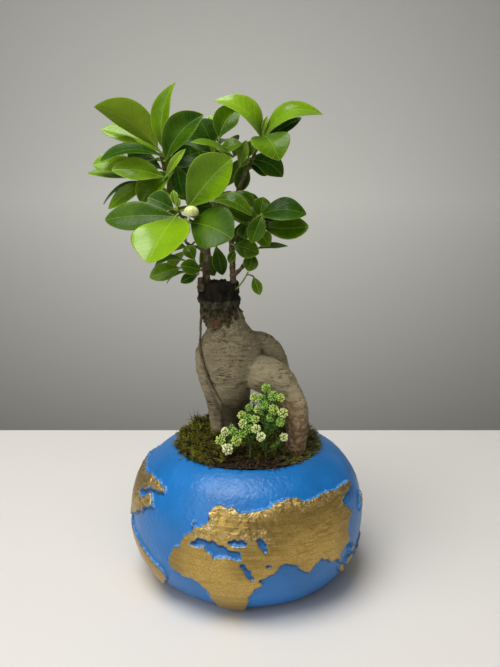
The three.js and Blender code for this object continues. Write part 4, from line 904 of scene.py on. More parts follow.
def bark_paint(settings):
    """Pale smooth bark with rings, wrinkles, flecks and specks, reddish and crazed at the foot of the front
    root, with painted shade in its hollows, its knot pits and its fold, and a painted shadow low between the
    roots. The collar is dark and rough with a clear band, and twigs are brown."""
    paint = Paint("ficus_bark")
    hollow, collar, stem = paint.attribute("hollow"), paint.attribute("collar"), paint.attribute("stem")
    across = paint.axis(0)
    height = paint.axis(2)
    broad = paint.noise(50, 4, 0.6)
    lines = paint.noise(1.0, 6, 0.75, at=paint.stretched((170, 170, 760)))
    flecks = paint.noise(1.0, 3, 0.6, at=paint.stretched((300, 300, 1050)))
    scabs = paint.noise(420, 4, 0.7)
    specks = paint.noise(1500, 2, 0.5)
    brown = (0.10, 0.052, 0.026)

    # The smooth bark of the body and the roots
    smooth = paint.mix(paint.step(broad, 0.3, 0.7), shade(settings.bark, 0.78), shade(settings.bark, 1.2))
    worn = paint.step(paint.noise(38, 3, 0.6), 0.36, 0.62)
    smooth = paint.mix(paint.step(lines, 0.48, 0.68) * worn * 0.65, smooth, shade(settings.bark, 0.36))
    smooth = paint.mix(paint.step(specks, 0.46, 0.66) * 0.32, smooth, shade(settings.bark, 0.5))
    folds = paint.noise(1.0, 4, 0.6, at=paint.stretched((52, 52, 420)))
    wrinkled = paint.step(paint.noise(60, 3, 0.6), 0.44, 0.60)
    wrinkles = (1 - paint.step(abs(folds - 0.5), 0.004, 0.022)) * wrinkled
    smooth = paint.mix(wrinkles * 0.5, smooth, brown)
    patches = paint.step(paint.noise(70, 3, 0.6), 0.46, 0.62)
    smooth = paint.mix(paint.step(flecks, 0.54, 0.64) * patches * 0.8, smooth, brown)
    smooth = paint.mix(paint.step(scabs, 0.60, 0.68) * 0.5, smooth, (0.12, 0.085, 0.05))
    foot = paint.step(across, 0.014, 0.026) * (1 - paint.step(height + (broad - 0.5) * 0.04, 0.106, 0.130))
    crazing = paint.step(scabs, 0.44, 0.60)
    smooth = paint.mix(foot * 0.65, smooth, (0.30, 0.185, 0.085))
    smooth = paint.mix(foot * crazing * 0.75, smooth, (0.085, 0.048, 0.022))
    middle = paint.step(across, -0.0185, -0.0165) * (1 - paint.step(across, 0.004, 0.010))
    shadow = middle * (1 - paint.step(height, 0.110, 0.128))
    smooth = paint.mix(shadow * 0.85, smooth, (0.038, 0.03, 0.013))
    shoulder = paint.step(height + (broad - 0.5) * 0.03, 0.146, 0.166)
    speckled = shoulder * paint.step(specks + scabs, 0.95, 1.15)
    smooth = paint.mix(speckled * 0.62, smooth, (0.06, 0.045, 0.02))
    # Painted shade in the hollows, the knot pits and the fold
    smooth = paint.mix(paint.step(hollow, 0.08, 0.6) * 0.6, smooth, shade(settings.bark, 0.13))

    # The rough collar, its clear band and the twigs
    rough = paint.mix(paint.step(scabs, 0.45, 0.75), settings.collar, shade(settings.collar, 3.2))
    low = 1 - paint.step(height + (broad - 0.5) * 0.012, 0.170, 0.180)
    rough = paint.mix(low * paint.step(scabs, 0.34, 0.58) * 0.8, rough, (0.120, 0.098, 0.045))
    wavy = height + (broad - 0.5) * 0.004
    band = paint.step(wavy, 0.1752, 0.1760) * (1 - paint.step(wavy, 0.1796, 0.1806))
    rough = paint.mix(band * paint.step(scabs, 0.38, 0.58) * 0.55, rough, (0.105, 0.112, 0.068))
    colour = paint.mix(collar, smooth, rough)
    twig = paint.mix(paint.step(scabs, 0.35, 0.7), (0.06, 0.042, 0.022), (0.20, 0.155, 0.09))
    colour = paint.mix(stem, colour, twig)
    colour = paint.mix(paint.attribute("scar") * 0.75, colour, (0.14, 0.06, 0.035))
    relief = lines * worn * 0.8 - wrinkles * 0.9 + flecks * 0.3 + scabs * 0.5 + specks * 0.15
    relief = relief + foot * crazing * -0.7
    return paint.surface(
        Base_Color=colour,
        Roughness=paint.step(scabs, 0.3, 0.7) * 0.15 + 0.6,
        Specular_IOR_Level=0.18,
        Normal=paint.bump(relief, 0.0009, 0.8),
    )


class BONSAI_OT_rootstock(bpy.types.Operator):
    """Makes the swollen trunk with its roots, its rough collar and its woody stems"""

    bl_idname = "bonsai.rootstock"
    bl_label = "Rootstock"

    def execute(self, context):
        settings = context.scene.bonsai_rootstock
        mesh = rootstock_mesh(settings)
        piece("ficus_rootstock", mesh, bark_paint(settings), "bark", "rootstock")
        return {"FINISHED"}


# The leaves

GOLDEN_ANGLE = 137.5
PETIOLE_RADIUS = 0.6
PETIOLE_LENGTH = 6.0
BLADE_ROWS = 26
STALK_ROWS = 7
LEAF_SIDES = 22
# What a leaf's points carry for its paint: distances from the base, the midrib and the margin, and shares
LEAF_VALUES = ("along", "across", "margin", "under", "youth", "stalk", "woody")

# Leaves: base x, height, depth; tip x, height, depth; half width; arch; bow; roll of the upper face from the
# sky towards the front, twist and fold in degrees; bluntness; tone from 0, dark, to 1, bright, which stands
# for the leaf's age and also for painted light and shade on it
# Spirals: the twig they stand on, the count of leaves, the first one's angle round the twig in degrees, and
# the spread from the twig in degrees and the length, each of the lowest and of the highest leaf
SHOOTS = {
    "shoot_upper_left": {
        "twigs": [
            [[-40.4, 247.3, -1, 1.4], [-45.5, 252.5, -1, 1.3], [-49.6, 259, -1, 1.2], [-52, 268.5, -2, 0.9]],
        ],
        "leaves": [
            [-54, 272, -2, -90.9, 295.5, -2, 12.4, 2, 3, -53, 0, 28, 0.3, 0.6],
            [-52.5, 270, 10, -87, 282.4, 13, 7.6, 2, -2, 48, 0, 10, 0.9, 0.7],
            [-51, 267, -3, -88.4, 264.2, -9, 7.6, 5.6, 0, 34, 6, 12, 1, 0.02],
            [-66, 263.4, 0, -93, 262.2, -3, 6.8, 1.5, 0, 62, 0, 10, 0.9, 0.75],
            [-51, 255, -8, -82, 259.2, -14, 7.6, 2, -0.8, 62, 0, 12, 0.6, 0.62],
            [-60, 254.5, 3, -97, 257, 3, 6.5, 1.5, 0, 34, -6, 12, 0.2, 0.6],
            [-62, 252, 8, -87.8, 238.7, 7, 5, 4, 0, 22, 10, 12, 0.4, 0.12],
            [-58, 252.5, 2, -84.8, 236, 2, 5.8, 3, 0, 58, 10, 12, 0.6, 0.4],
            [-45.2, 257.4, -3, -64.8, 239.4, -7, 10.6, 1, 0, 50, 0, 34, 1, 0.45],
            [-49.5, 255, -8, -37, 271.5, -13, 2.9, 1, 0, 60, 0, 20, 0.5, 0.75],
            [-49, 265, -5, -26.1, 290.9, -8, 11, 1, 3, 58, 0, 30, 0.45, 0.14],
            [-50, 268, 4, -39.5, 291.5, 5, 7, 1, 0, 70, 0, 10, 0.5, 0.15],
            [-50, 271, -2, -42.4, 309.2, -2, 6.8, 1, 4.2, 66, -36, 22, 0.3, 0.45],
            [-43, 262, 0, -39, 243, -4, 5.4, 1, 0, 80, 0, 10, 0.6, 0.05],
            [-53, 265, 4, -66, 259, 34, 8, 3, 0, -10, 0, 12, 0.5, 0.4],
            [-47, 261, 5, -29, 269.5, 10, 8, 2, 0, 66, 0, 12, 0.6, 0.08],
        ],
    },
    "shoot_front": {
        "twigs": [
            [
                [-35, 228.6, -17.6, 1.2], [-37.5, 230.4, -23, 1.1], [-40.6, 231.8, -27, 1],
                [-42.8, 235.4, -29, 0.8],
            ],
        ],
        "leaves": [
            [-36.4, 237, -28, -9.4, 266, -36, 13.8, -1, 1.2, 66, 0, 22, 0.85, 0.58],
            [-44.2, 231, -31, -61.8, 203.2, -58, 18.2, 3, 2, 0, 0, 8, 0.75, 0.85],
            [-34.8, 227.6, -29, -9.4, 218, -46, 13.6, 2, 1.2, 70, 0, 9, 0.7, 0.18],
            [-44, 231.4, -28, -87.2, 229.4, -25, 9.2, 2, -0.5, 62, 0, 10, 0.8, 0.3],
            [-45, 236, -24, -60.6, 243, -21, 6.6, 1, 0, 66, 0, 10, 0.5, 0.15],
            [-42.8, 236.5, -29, -41.3, 242.5, -30, 1.5, 0.5, 0, 80, 0, 20, 0.3, 0.6],
            [-44, 238, -25, -45, 247, -22, 2.6, 0.5, 0, 70, 0, 20, 0.5, 0.5],
        ],
    },
    "shoot_centre_top": {
        "twigs": [[[-19.4, 258.4, 6, 1.1], [-19.8, 264, 6, 1], [-18.6, 272.5, 4, 0.8]]],
        "leaves": [
            [-20.5, 273.5, 5, -28.5, 288.6, 8, 8, 1, 0, 80, 0, 8, 0.6, 0.1],
            [-19.6, 275, 9, -22.5, 291, 14, 5, 1, 0, 66, 0, 10, 0.5, 0.8],
            [-16.8, 277.6, 4, -4.6, 293.8, 8, 8.4, 1, 2.4, 64, 0, 20, 0.5, 0.25],
            [-9.4, 267.6, -6, -33.8, 275.2, -17, 5, 2.6, 0, 30, 0, 12, 0.5, 0.3],
            [-17, 271, 0, -3.4, 274.4, -5, 6.2, 1, -1, 56, -16, 12, 0.6, 0.45],
            [-17, 274, 8, -8, 274, 36, 7.5, 3, 0, -8, 0, 12, 0.5, 0.35],
            [-21, 269, 12, -34, 257, 24, 7.5, 2, 0, 62, 0, 12, 0.6, 0.08],
        ],
    },
    "shoot_upper_right": {
        "twigs": [[[1.5, 262.5, 1, 1.1], [4, 268, 0.5, 1], [6.6, 274, 0, 0.95], [8.2, 279, 0, 0.8]]],
        "leaves": [
            [8, 277.6, 0, -19.9, 298.8, -5, 10.8, 7.6, 0, 36, 0, 14, 0.1, 0.75],
            [9.8, 277.6, 0, 44.4, 291.2, -5, 10, 9.4, 0, 36, 0, 14, 0.35, 0.7],
            [9, 278.5, -4, 19.2, 264.6, -24, 11.6, 5, -1, 40, 0, 8, 0.6, 0.42],
            [8.6, 281, -1, 12, 291, -2, 1.7, 0.5, 0, 80, 0, 20, 0.2, 0.95],
            [1, 265, 6, 21, 255, 12, 7.2, 1, 3.2, 74, 0, 8, 0.6, 0.12],
            [-1.6, 264, 5.5, -4.8, 246, 6.5, 5.2, 0.5, 0, 76, 0, 10, 0.6, 0.12],
            [-4.6, 262, -2, -0.6, 276.4, -4, 3.8, 1, 0, 60, 0, 20, 0.5, 0.4],
            [0.4, 266.6, -1, 3.4, 276.6, -3, 3.6, 1, 0, 60, 0, 14, 0.8, 0.35],
            [10.2, 277, 2, 32, 289.4, 0, 4.8, 1.5, -1, 50, 0, 10, 0.4, 0.1],
            [9, 279, 4, 12, 282, 32, 7.5, 4, 0, -6, 0, 12, 0.5, 0.45],
            [5, 272, 4, -8, 267, 28, 6.5, 3, 0, -4, 0, 12, 0.5, 0.4],
        ],
    },
    "shoot_middle": {
        "twigs": [[[-11.5, 240.5, -7.6, 1], [-11, 242.5, -10, 0.9], [-10, 244.5, -12, 0.8]]],
        "leaves": [
            [-21.5, 240.4, -10, 2.6, 231.8, -16, 5.8, 6.4, 0, 46, 0, 12, 0.5, 0.35],
            [-8, 246, -10, 3.4, 237, -11, 4.4, 2.5, 0, 44, 0, 12, 0.5, 0.2],
            [-12, 237, -9, 2.2, 229, -8, 5.2, 1, 0, 62, 0, 12, 0.5, 0.12],
            [-2, 246, -2, 6.4, 238.8, 0, 3.4, 1, 0, -30, 0, 12, 0.5, 0.3],
        ],
    },
    "shoot_right": {
        "twigs": [[[-1.7, 224.2, -6.8, 1], [2, 227, -9, 0.95], [5.6, 231.4, -10.5, 0.8]]],
        "leaves": [
            [7, 232, -10, 35.8, 232.8, -16, 8.6, 4.5, 0, 50, 0, 10, 0.6, 0.02],
            [7.4, 230.6, -8, 9.4, 243, -3, 5.6, 1, 0, 66, 0, 10, 0.6, 0.25],
            [9, 225.6, -9, 37.4, 225.4, -14, 7.8, 0, -1.5, 64, 0, 10, 0.9, 0.25],
            [8.8, 232.4, -13, 2.2, 215.4, -18, 5.8, 1, 0, 80, 0, 16, 0.6, 0.3],
            [9, 229, -3, 33, 229.6, -3, 5, 1, 0, 40, 0, 10, 0.6, 0.05],
            [4.6, 223, -6, 13.6, 213.6, -5, 5, 1, 0, 62, 0, 10, 0.6, 0.45],
            [-1, 227, -12, -2, 218, -13, 5, 1, 0, 72, 0, 10, 0.6, 0.2],
        ],
    },
    "shoot_lower_right": {
        "twigs": [[[-2.6, 201.8, -3.8, 1.1], [-0.6, 205, -5, 1], [1.6, 210, -6, 0.8]]],
        "leaves": [
            [-9, 214.4, -8, 7, 208.8, -12, 6.2, 1, 0, 66, 0, 10, 0.6, 0.28],
            [3.4, 208.6, -7.5, 0.4, 197.8, -11, 4.8, 1, 0, 80, 0, 10, 0.6, 0.28],
            [6, 212, -4, 24.7, 213.4, 0, 4.4, 1, 0, 20, 0, 10, 0.3, 0.4],
            [-8, 211, -7, -11.6, 203, -9, 2.6, 1, 0, 76, 0, 10, 0.5, 0.2],
        ],
    },
    "shoot_lower_left": {
        "twigs": [[[-31, 200.7, -8.4, 1], [-34, 200.4, -11, 0.9], [-38, 200.2, -14, 0.7]]],
        "leaves": [
            [-29, 198.5, -13, -41.8, 201.4, -17, 5, 1, 0, 66, 0, 12, 0.7, 0.3],
            [-42, 200, -15, -61, 193.8, -20, 6, 1.5, 0, 60, 0, 12, 0.6, 0.4],
            [-31, 196, -9.5, -41.8, 190.8, -12, 3.6, 1, 0, 62, 0, 12, 0.5, 0.2],
            [-40, 205, -8, -58, 199.6, -7, 4.6, 4, 0, 24, 0, 12, 0.5, 0.1],
            [-33, 205, -9, -38, 213.4, -5, 4.4, 1, 0, 60, 0, 12, 0.6, 0.2],
            [-38, 197.4, -11, -50.4, 190.4, -6, 3.4, 2, 0, 20, 0, 12, 0.5, 0.3],
        ],
    },
    "shoot_back": {
        "twigs": [
            [[-18.4, 238.3, 20.6, 1.1], [-18.6, 241, 28, 1], [-18, 245, 35, 0.9], [-16, 250, 41, 0.8]],
            [[-18.6, 239, 23, 0.9], [-30, 241, 30, 0.85], [-42, 245, 35, 0.8]],
        ],
        "spirals": [
            {"twig": 0, "count": 7, "first": 95, "spread": [84, 34], "length": [29, 23]},
            {"twig": 1, "count": 6, "first": 20, "spread": [80, 34], "length": [31, 25]},
        ],
    },
    "shoot_back_right": {
        "twigs": [[[-2.6, 222.7, 15.6, 1], [2.5, 223, 20, 0.9], [9, 225, 24, 0.8]]],
        "leaves": [
            [4, 226, 21, 27, 233, 33, 7, 2, 0, 10, 0, 12, 0.5, 0.35],
            [5, 224, 22, 31, 224, 27, 7, 2, 0, 30, 0, 12, 0.5, 0.3],
            [1, 227, 20, 3, 237, 46, 7, 3, 0, -10, 0, 12, 0.5, 0.4],
            [8, 226, 25, 16, 224, 50, 7, 3, 0, -4, 0, 12, 0.5, 0.45],
            [-1, 225, 18, -11, 229, 44, 6.5, 3, 0, -6, 0, 12, 0.5, 0.35],
            [3, 222, 20, 8, 214, 40, 6, 3, 0, -8, 0, 12, 0.5, 0.3],
        ],
    },
    "shoot_low_back": {
        "twigs": [[[-30.4, 212.7, 12.6, 1], [-34, 213.5, 18, 0.9], [-38, 215.5, 23, 0.8]]],
        "leaves": [[-29, 211, 16, -20.5, 195, 14, 5.4, 1, 0, 84, 0, 10, 0.5, 0.2]],
        "spirals": [{"twig": 0, "count": 5, "first": 0, "spread": [78, 40], "length": [24, 19]}],
    },
}


# Small leaves far inside the crown, with the darkest tone as painted shade there, rows as above
INNER_LEAVES = {
    "shoot_upper_left": [
        [-48, 259, 6, -29, 262, 20, 6.4, 1, 0, 66, 0, 10, 0.6, 0.02],
        [-52, 260, 6, -72, 268.5, 14, 6, 1, 0, 66, 0, 10, 0.6, 0.02],
    ],
    "shoot_centre_top": [[-21, 265.5, 14, -39, 278.5, 22, 7, 1, 0, 66, 0, 10, 0.6, 0.04]],
    "shoot_upper_right": [[0, 263, 9, 14.5, 259, 14, 6.4, 1, 0, 70, 0, 10, 0.7, 0.03]],
    "shoot_back": [[-21, 238, 17, -36, 235.5, 15, 5.4, 1, 0, 70, 0, 10, 0.6, 0.03]],
    "shoot_back_right": [[-3.5, 228, 14, -5.5, 214, 13, 5.2, 1, 0, 80, 0, 10, 0.6, 0.04]],
    "shoot_low_back": [[-19.5, 213.5, 12, -15.5, 195.5, 12, 4.8, 1, 0, 84, 0, 10, 0.6, 0.2]],
}


def placed_leaf(row):
    """The leaf that a row above gives."""
    base, tip, (half_width, arch, bow, roll, twist, fold, bluntness, youth) = row[:3], row[3:6], row[6:]
    angle = math.radians(roll)
    return {
        "base": place(*base)[0], "tip": place(*tip)[0],
        "facing": np.array([0, -math.sin(angle), math.cos(angle)]),
        "half_width": half_width, "arch": arch, "bow": bow, "twist": twist, "fold": fold,
        "bluntness": bluntness, "youth": youth,
    }


def spiral_leaf(path, spiral, index):
    """A leaf of a spray: it stands a golden angle round the twig from the one before. The lowest leaves are
    longest and spread widest, and every upper face looks along the twig and to the sky."""
    share = index / (spiral["count"] - 1)
    spot = int(round((0.3 + 0.7 * share) * (len(path) - 1)))
    node = path[spot]
    axis = unit(np.gradient(path, axis=0))[spot]
    level = unit(np.cross([0, 0, 1.0], axis))
    around = math.radians(spiral["first"] + index * GOLDEN_ANGLE)
    outward = level * math.cos(around) + np.cross(axis, level) * math.sin(around)
    lean = math.radians(np.interp(share, [0, 1], spiral["spread"]))
    heading = axis * math.cos(lean) + outward * math.sin(lean)
    reach = np.interp(share, [0, 1], spiral["length"])
    base = node + heading * PETIOLE_LENGTH
    return {
        "base": base,
        "tip": base + heading * reach,
        "facing": axis * math.sin(lean) - outward * math.cos(lean) + np.array([0, 0, 0.5]),
        "half_width": 0.27 * reach, "arch": 0.08 * reach, "bow": 0, "twist": 0, "fold": 14,
        "bluntness": 0.5, "youth": 0.25 + 0.35 * share,
    }


def leaf_outline(u, bluntness):
    """The half width along a leaf as a share of its widest: a power of the sine of pi times a power of u. At
    a bluntness of 0 the leaf is pointed and widest at its middle, at 1 it is blunt and widest past it."""
    return np.sin(np.pi * np.clip(u, 0, 1) ** (0.9 + 0.5 * bluntness)) ** (0.95 - 0.35 * bluntness)


def leaf_midrib(leaf):
    """The rings' places along the blade, and the midrib's point, heading and side at each. The midrib is
    the straight run from base to tip plus arch and bow times 4u(1-u), and its side turns by the twist."""
    run = leaf["tip"] - leaf["base"]
    forward = run / np.linalg.norm(run)
    upward = unit(leaf["facing"] - forward * (leaf["facing"] @ forward))
    sideward = np.cross(upward, forward)
    u = (1 - np.cos(np.pi * np.linspace(0.03, 0.985, BLADE_ROWS))) / 2
    bend = leaf["arch"] * upward + leaf["bow"] * sideward
    middle = leaf["base"] + run * u[:, None] + bend * (4 * u * (1 - u))[:, None]
    along = unit(run + bend * (4 * (1 - 2 * u))[:, None])
    side = unit(sideward - along * (along @ sideward)[:, None])
    turn = np.radians(leaf["twist"]) * u[:, None]
    return u, middle, along, side * np.cos(turn) + np.cross(along, side) * np.sin(turn)


def leaf_stalk(leaf, node, middle, along, side):
    """The stalk's points, headings and sides: a cubic curve that leaves the twig's node towards the leaf's
    base and runs into the midrib."""
    heading = unit(leaf["base"] - node)
    gap = np.linalg.norm(leaf["base"] - node)
    t = np.linspace(0, 0.92, STALK_ROWS)[:, None]
    elbow = node + heading * 0.5 * gap
    wrist = middle[0] - along[0] * 0.35 * gap
    stalk = (1 - t) ** 3 * node + 3 * t * (1 - t) ** 2 * elbow + 3 * t**2 * (1 - t) * wrist + t**3 * middle[0]
    stalk_along = unit(np.gradient(stalk, axis=0))
    return stalk, stalk_along, unit(side[0] - stalk_along * (stalk_along @ side[0])[:, None])


def add_leaf(shape, leaf, node, seed, thickness):
    """One skin from the twig along the stalk and round the blade. A ring round the blade has across =
    cos(t) and thickness sin(t), so that its edge is round. The blade lifts from its midrib to its margin by
    the fold, with a slow wave along the margin, and has a groove along the midrib."""
    length = np.linalg.norm(leaf["tip"] - leaf["base"])
    u, middle, along, side = leaf_midrib(leaf)
    stalk, stalk_along, stalk_side = leaf_stalk(leaf, node, middle, along, side)
    centre = np.concatenate([stalk, middle])
    travel = np.concatenate([stalk_along, along])
    sideways = np.concatenate([stalk_side, side])
    normal = np.cross(travel, sideways)
    u = np.concatenate([np.full(STALK_ROWS, 0.0), u])[:, None]
    on_stalk = np.concatenate([np.ones(STALK_ROWS), np.zeros(BLADE_ROWS)])[:, None]
    blade = 1 - on_stalk

    stalk_radius = min(PETIOLE_RADIUS, 0.12 * leaf["half_width"] + 0.1)
    width = leaf["half_width"] * leaf_outline(u, leaf["bluntness"])
    width = np.maximum(width, stalk_radius * rise(0.5 - u, 0, 0.5))
    width = np.where(on_stalk > 0, stalk_radius, width)
    swollen = (0.8 * stalk_radius - thickness / 2) * np.exp(-((u / 0.07) ** 2))
    half = np.where(on_stalk > 0, stalk_radius, thickness / 2 + swollen)

    angle = (np.arange(LEAF_SIDES) * TURN / LEAF_SIDES)[None, :]
    across, up = np.cos(angle), np.sin(angle)
    fold = math.radians(leaf["fold"])
    random = np.random.default_rng(seed)
    phase, other = random.uniform(0, TURN, 2)
    wave = 0.035 * np.sin(9 * u + phase + 1.5 * np.sign(across)) * np.abs(across) ** 3
    droop = 0.10 * np.abs(across) ** 4
    lift = width * blade * (math.sin(fold) * np.sqrt(across**2 + 0.02) + wave - droop * math.sin(other))
    groove = np.exp(-((across * width / 0.7) ** 2)) * blade * (1 - 0.75 * u)
    skin = np.where(on_stalk > 0, half * up, half * np.sign(up) * np.abs(up) ** 0.55)
    skin = skin - groove * np.where(up > 0, 0.22, 0.34) * (np.abs(up) > 1e-6)
    flat = across * width * np.where(on_stalk > 0, 1, math.cos(fold))
    shape.add_skin(
        centre[:, None] + sideways[:, None] * flat[..., None] + normal[:, None] * (lift + skin)[..., None],
        along=u * length - 3 * on_stalk + 0 * across,
        across=across * width,
        margin=width * (1 - np.abs(across)) + 9 * on_stalk,
        under=rise(-up, -0.02, 0.02) + 0 * u,
        youth=leaf["youth"] + 0.1 * random.uniform(-1, 1),
        stalk=on_stalk + 0 * across,
    )


def shoot_shape(name, plan, seed, thickness):
    """A leafy shoot: its twigs, and its leaves on stalks that leave the nearest point of a twig."""

    def bumps(rings):
        return 0.12 * ripples(rings, 3.5, seed)

    shape = Shape(*LEAF_VALUES)
    paths = []
    for stations in plan["twigs"]:
        table = np.asarray(stations, float)
        paths.append(smooth_path(place(table[:, 0], table[:, 1], table[:, 2]), 25))
        shape.add_skin(limb_rings(stations, 30, 12, bumps), woody=1.0)
    spots = np.concatenate([path[3:] for path in paths])
    leaves = [placed_leaf(row) for row in plan.get("leaves", [])]
    for spiral in plan.get("spirals", []):
        leaves += [spiral_leaf(paths[spiral["twig"]], spiral, index) for index in range(spiral["count"])]
    leaves += [placed_leaf(row) for row in INNER_LEAVES.get(name, [])]
    for index, leaf in enumerate(leaves):
        nearest = spots[np.argmin(np.linalg.norm(spots - leaf["base"], axis=1))]
        add_leaf(shape, leaf, nearest, 100 * seed + index, thickness)
    return shape


def leaf_paint(settings):
    """Glossy green, from dark when old to bright when young, a tone that also carries painted light and shade
    leaf by leaf, with painted shade near each leaf's base, a pale midrib, faint veins and a pale edge. The
    under face is duller and paler. Stalks are green and twigs are brown."""
    paint = Paint("ficus_leaf")
    along, across, margin = paint.attribute("along"), paint.attribute("across"), paint.attribute("margin")
    under, youth = paint.attribute("under"), paint.attribute("youth")
    stalk, woody = paint.attribute("stalk"), paint.attribute("woody")
    off_rib = abs(across)
    cloud = paint.noise(70, 3, 0.5)
    # Painted light and shade: each leaf's tone stands for its age and also for how lit it is, and picks its
    # colour
    upper = paint.mix(paint.step(youth + (cloud - 0.5) * 0.55, 0.0, 1.0), settings.old, settings.young)
    dull, fresh = shade(settings.underside, 0.35), shade(settings.underside, 1.2)
    lower = paint.mix(paint.step(youth, 0.0, 0.9), dull, fresh)
    rib = 1 - paint.step(off_rib, 0.08, 0.42)
    wave = paint.node("Math", {"operation": "SINE"}, {0: (along - off_rib * 0.62 + cloud * 3.0) * 1.7})
    veins = paint.step(wave, 0.8, 1.0) * paint.step(off_rib, 0.2, 1.2) * paint.step(margin, 0.5, 2.0)
    edge = 1 - paint.step(margin, 0.06, 0.4)
    pale = paint.mix(youth, (0.14, 0.26, 0.012), (0.48, 0.66, 0.07))
    # Painted shade near each leaf's base, where it lies inside the crown
    base_shade = 1 - paint.step(along, 0.0, 15.0)
    upper = paint.mix(base_shade * 0.6, upper, shade(settings.old, 0.6))
    thin = 1 - paint.step(margin, 0.2, 3.2)
    upper = paint.mix(thin * 0.14, upper, pale)
    upper = paint.mix(veins * 0.1, upper, pale)
    upper = paint.mix(rib * 0.45, upper, pale)
    upper = paint.mix(edge * 0.6, upper, (0.44, 0.60, 0.14))
    lower = paint.mix(veins * 0.12 + rib * 0.35, lower, (0.34, 0.42, 0.07))
    colour = paint.mix(under, upper, lower)
    colour = paint.mix(stalk, colour, (0.16, 0.26, 0.03))
    twig = paint.mix(paint.step(paint.noise(400, 3), 0.35, 0.7), (0.055, 0.05, 0.018), (0.15, 0.13, 0.05))
    colour = paint.mix(woody, colour, twig)
    quilt = paint.noise(150, 2, 0.4)
    height = quilt * 2.2 + paint.noise(420, 2) * 0.1 - veins * 0.5 - rib * 0.5 * (1 - under)
    shine = (1 - under) * (1 - woody)
    return paint.surface(
        Base_Color=colour,
        Roughness=under * 0.15 + woody * 0.3 + 0.3 + cloud * 0.1,
        Specular_IOR_Level=0.08,
        Coat_Weight=shine * (youth * 0.34 + paint.step(youth, 0.65, 0.85) * 0.25 + 0.03),
        Coat_Roughness=0.16,
        Normal=paint.bump(height, 0.0006, 0.55),
    )


class BONSAI_OT_shoots(bpy.types.Operator):
    """Makes the leafy shoots"""

    bl_idname = "bonsai.shoots"
    bl_label = "Leafy Shoots"

    def execute(self, context):
        settings = context.scene.bonsai_leaf
        paint = leaf_paint(settings)
        for seed, (node, plan) in enumerate(SHOOTS.items(), start=1):
            name = node.replace("shoot", "leaves")
            mesh = shoot_shape(node, plan, seed, settings.thickness / MM).mesh(name)
            piece(name, mesh, paint, "leaf", node)
        return {"FINISHED"}


# The sprout and the fig

# Stems are limbs and the leaf is a row, as above
SPROUT_STEM = [[-6.7, 187, -4.2, 0.55], [-3.2, 191.5, -6, 0.5], [0.3, 197.4, -8, 0.45]]
SPROUT_STALK = [[-0.6, 195.6, -7.4, 0.5], [1.6, 195.6, -8.5, 0.45], [4, 194.2, -9.5, 0.45]]
SPROUT_LEAF = [3.6, 194.4, -9.4, 7.6, 183, -11, 3.4, 1, 0, 84, 0, 10, 0.5, 0.35]
FIG_STALK = [[-36.4, 229.2, -31.6, 0.7], [-35.8, 231.4, -33, 0.9], [-35.2, 233.4, -34, 1]]
# The fig's profile of [radius, height over its centre], and that centre: [x, height, depth]
FIG_PROFILE = [
    [0.6, -1.6], [2.6, -1.35], [3.9, -0.3], [4.15, 0.8], [3.7, 2.3], [2.5, 3.5], [1.1, 4.1], [0.3, 4.2],
]
FIG_CENTRE = [-34.4, 233.4, -34]
FIG_RINGS = 30
FIG_SIDES = 48
FIG_LOBES = 9


class BONSAI_OT_sprout(bpy.types.Operator):
    """Makes the thin green sprout on the collar"""

    bl_idname = "bonsai.sprout"
    bl_label = "Sprout"

    def execute(self, context):
        settings = context.scene.bonsai_leaf
        shape = Shape(*LEAF_VALUES)
        for stations in (SPROUT_STEM, SPROUT_STALK):
            shape.add_skin(limb_rings(stations, 24, 10), stalk=1.0, margin=9.0, youth=0.5)
        node = place(*SPROUT_STALK[1][:3])[0]
        add_leaf(shape, placed_leaf(SPROUT_LEAF), node, 900, settings.thickness / MM)
        piece("green_sprout", shape.mesh("green_sprout"), leaf_paint(settings), "leaf", "sprout")
        return {"FINISHED"}


def fig_shape():
    """A profile turned round a vertical axis, with shallow lobes, on a stalk."""
    profile = smooth_path([[radius, height, 0] for radius, height in FIG_PROFILE], FIG_RINGS)
    angle = np.arange(FIG_SIDES) * TURN / FIG_SIDES
    lobes = 1 + 0.03 * np.cos(FIG_LOBES * angle)
    centre = place(*FIG_CENTRE)[0]
    x = profile[:, :1] * np.cos(angle) * lobes
    y = profile[:, :1] * np.sin(angle) * lobes
    z = np.broadcast_to(profile[:, 1:2], x.shape)
    shape = Shape("stalk")
    shape.add_skin(centre + np.stack([x, y, z], axis=-1))
    shape.add_skin(limb_rings(FIG_STALK, 20, 14), stalk=1.0)
    return shape


def fig_paint():
    """Pale green skin with cream flecks, on a cream stalk."""
    paint = Paint("fig_skin")
    flecks = paint.step(paint.cells(900), 0.1, 0.35)
    skin = paint.mix(paint.step(paint.noise(300, 3), 0.35, 0.65), (0.55, 0.62, 0.16), (0.80, 0.82, 0.40))
    skin = paint.mix(flecks, (0.88, 0.88, 0.60), skin)
    colour = paint.mix(paint.attribute("stalk"), skin, (0.72, 0.76, 0.55))
    return paint.surface(Base_Color=colour, Roughness=0.42, Normal=paint.bump(flecks, 0.0002, 0.5))


class BONSAI_OT_fig(bpy.types.Operator):
    """Makes the pale fig in the front shoot"""

    bl_idname = "bonsai.fig"
    bl_label = "Fig"

    def execute(self, context):
        piece("small_fig", fig_shape().mesh("small_fig"), fig_paint(), "fruit", "fig")
        return {"FINISHED"}


# Soil and moss

# The mean height of the moss, the radius of the cushion and the height at which it lies on the pot's lip
MOSS_CROWN = 88.6
MOSS_RADIUS = 46.6
MOSS_LIP = 86.9
BED_RINGS = 64
BED_SIDES = 200
BED_RIM = [45.6, 46.4]
# The cushion's underside: [radius, height]
BED_UNDERSIDE = [[46.0, MOSS_LIP - 0.6], [44.2, MOSS_LIP - 0.8], [43.4, 82], [30, 81.4], [0.6, 81.4]]
# A frond's stem is a row of spikes, with leaflets in turn on both sides
STEM_SPIKES = 4
LEAFLETS = 17


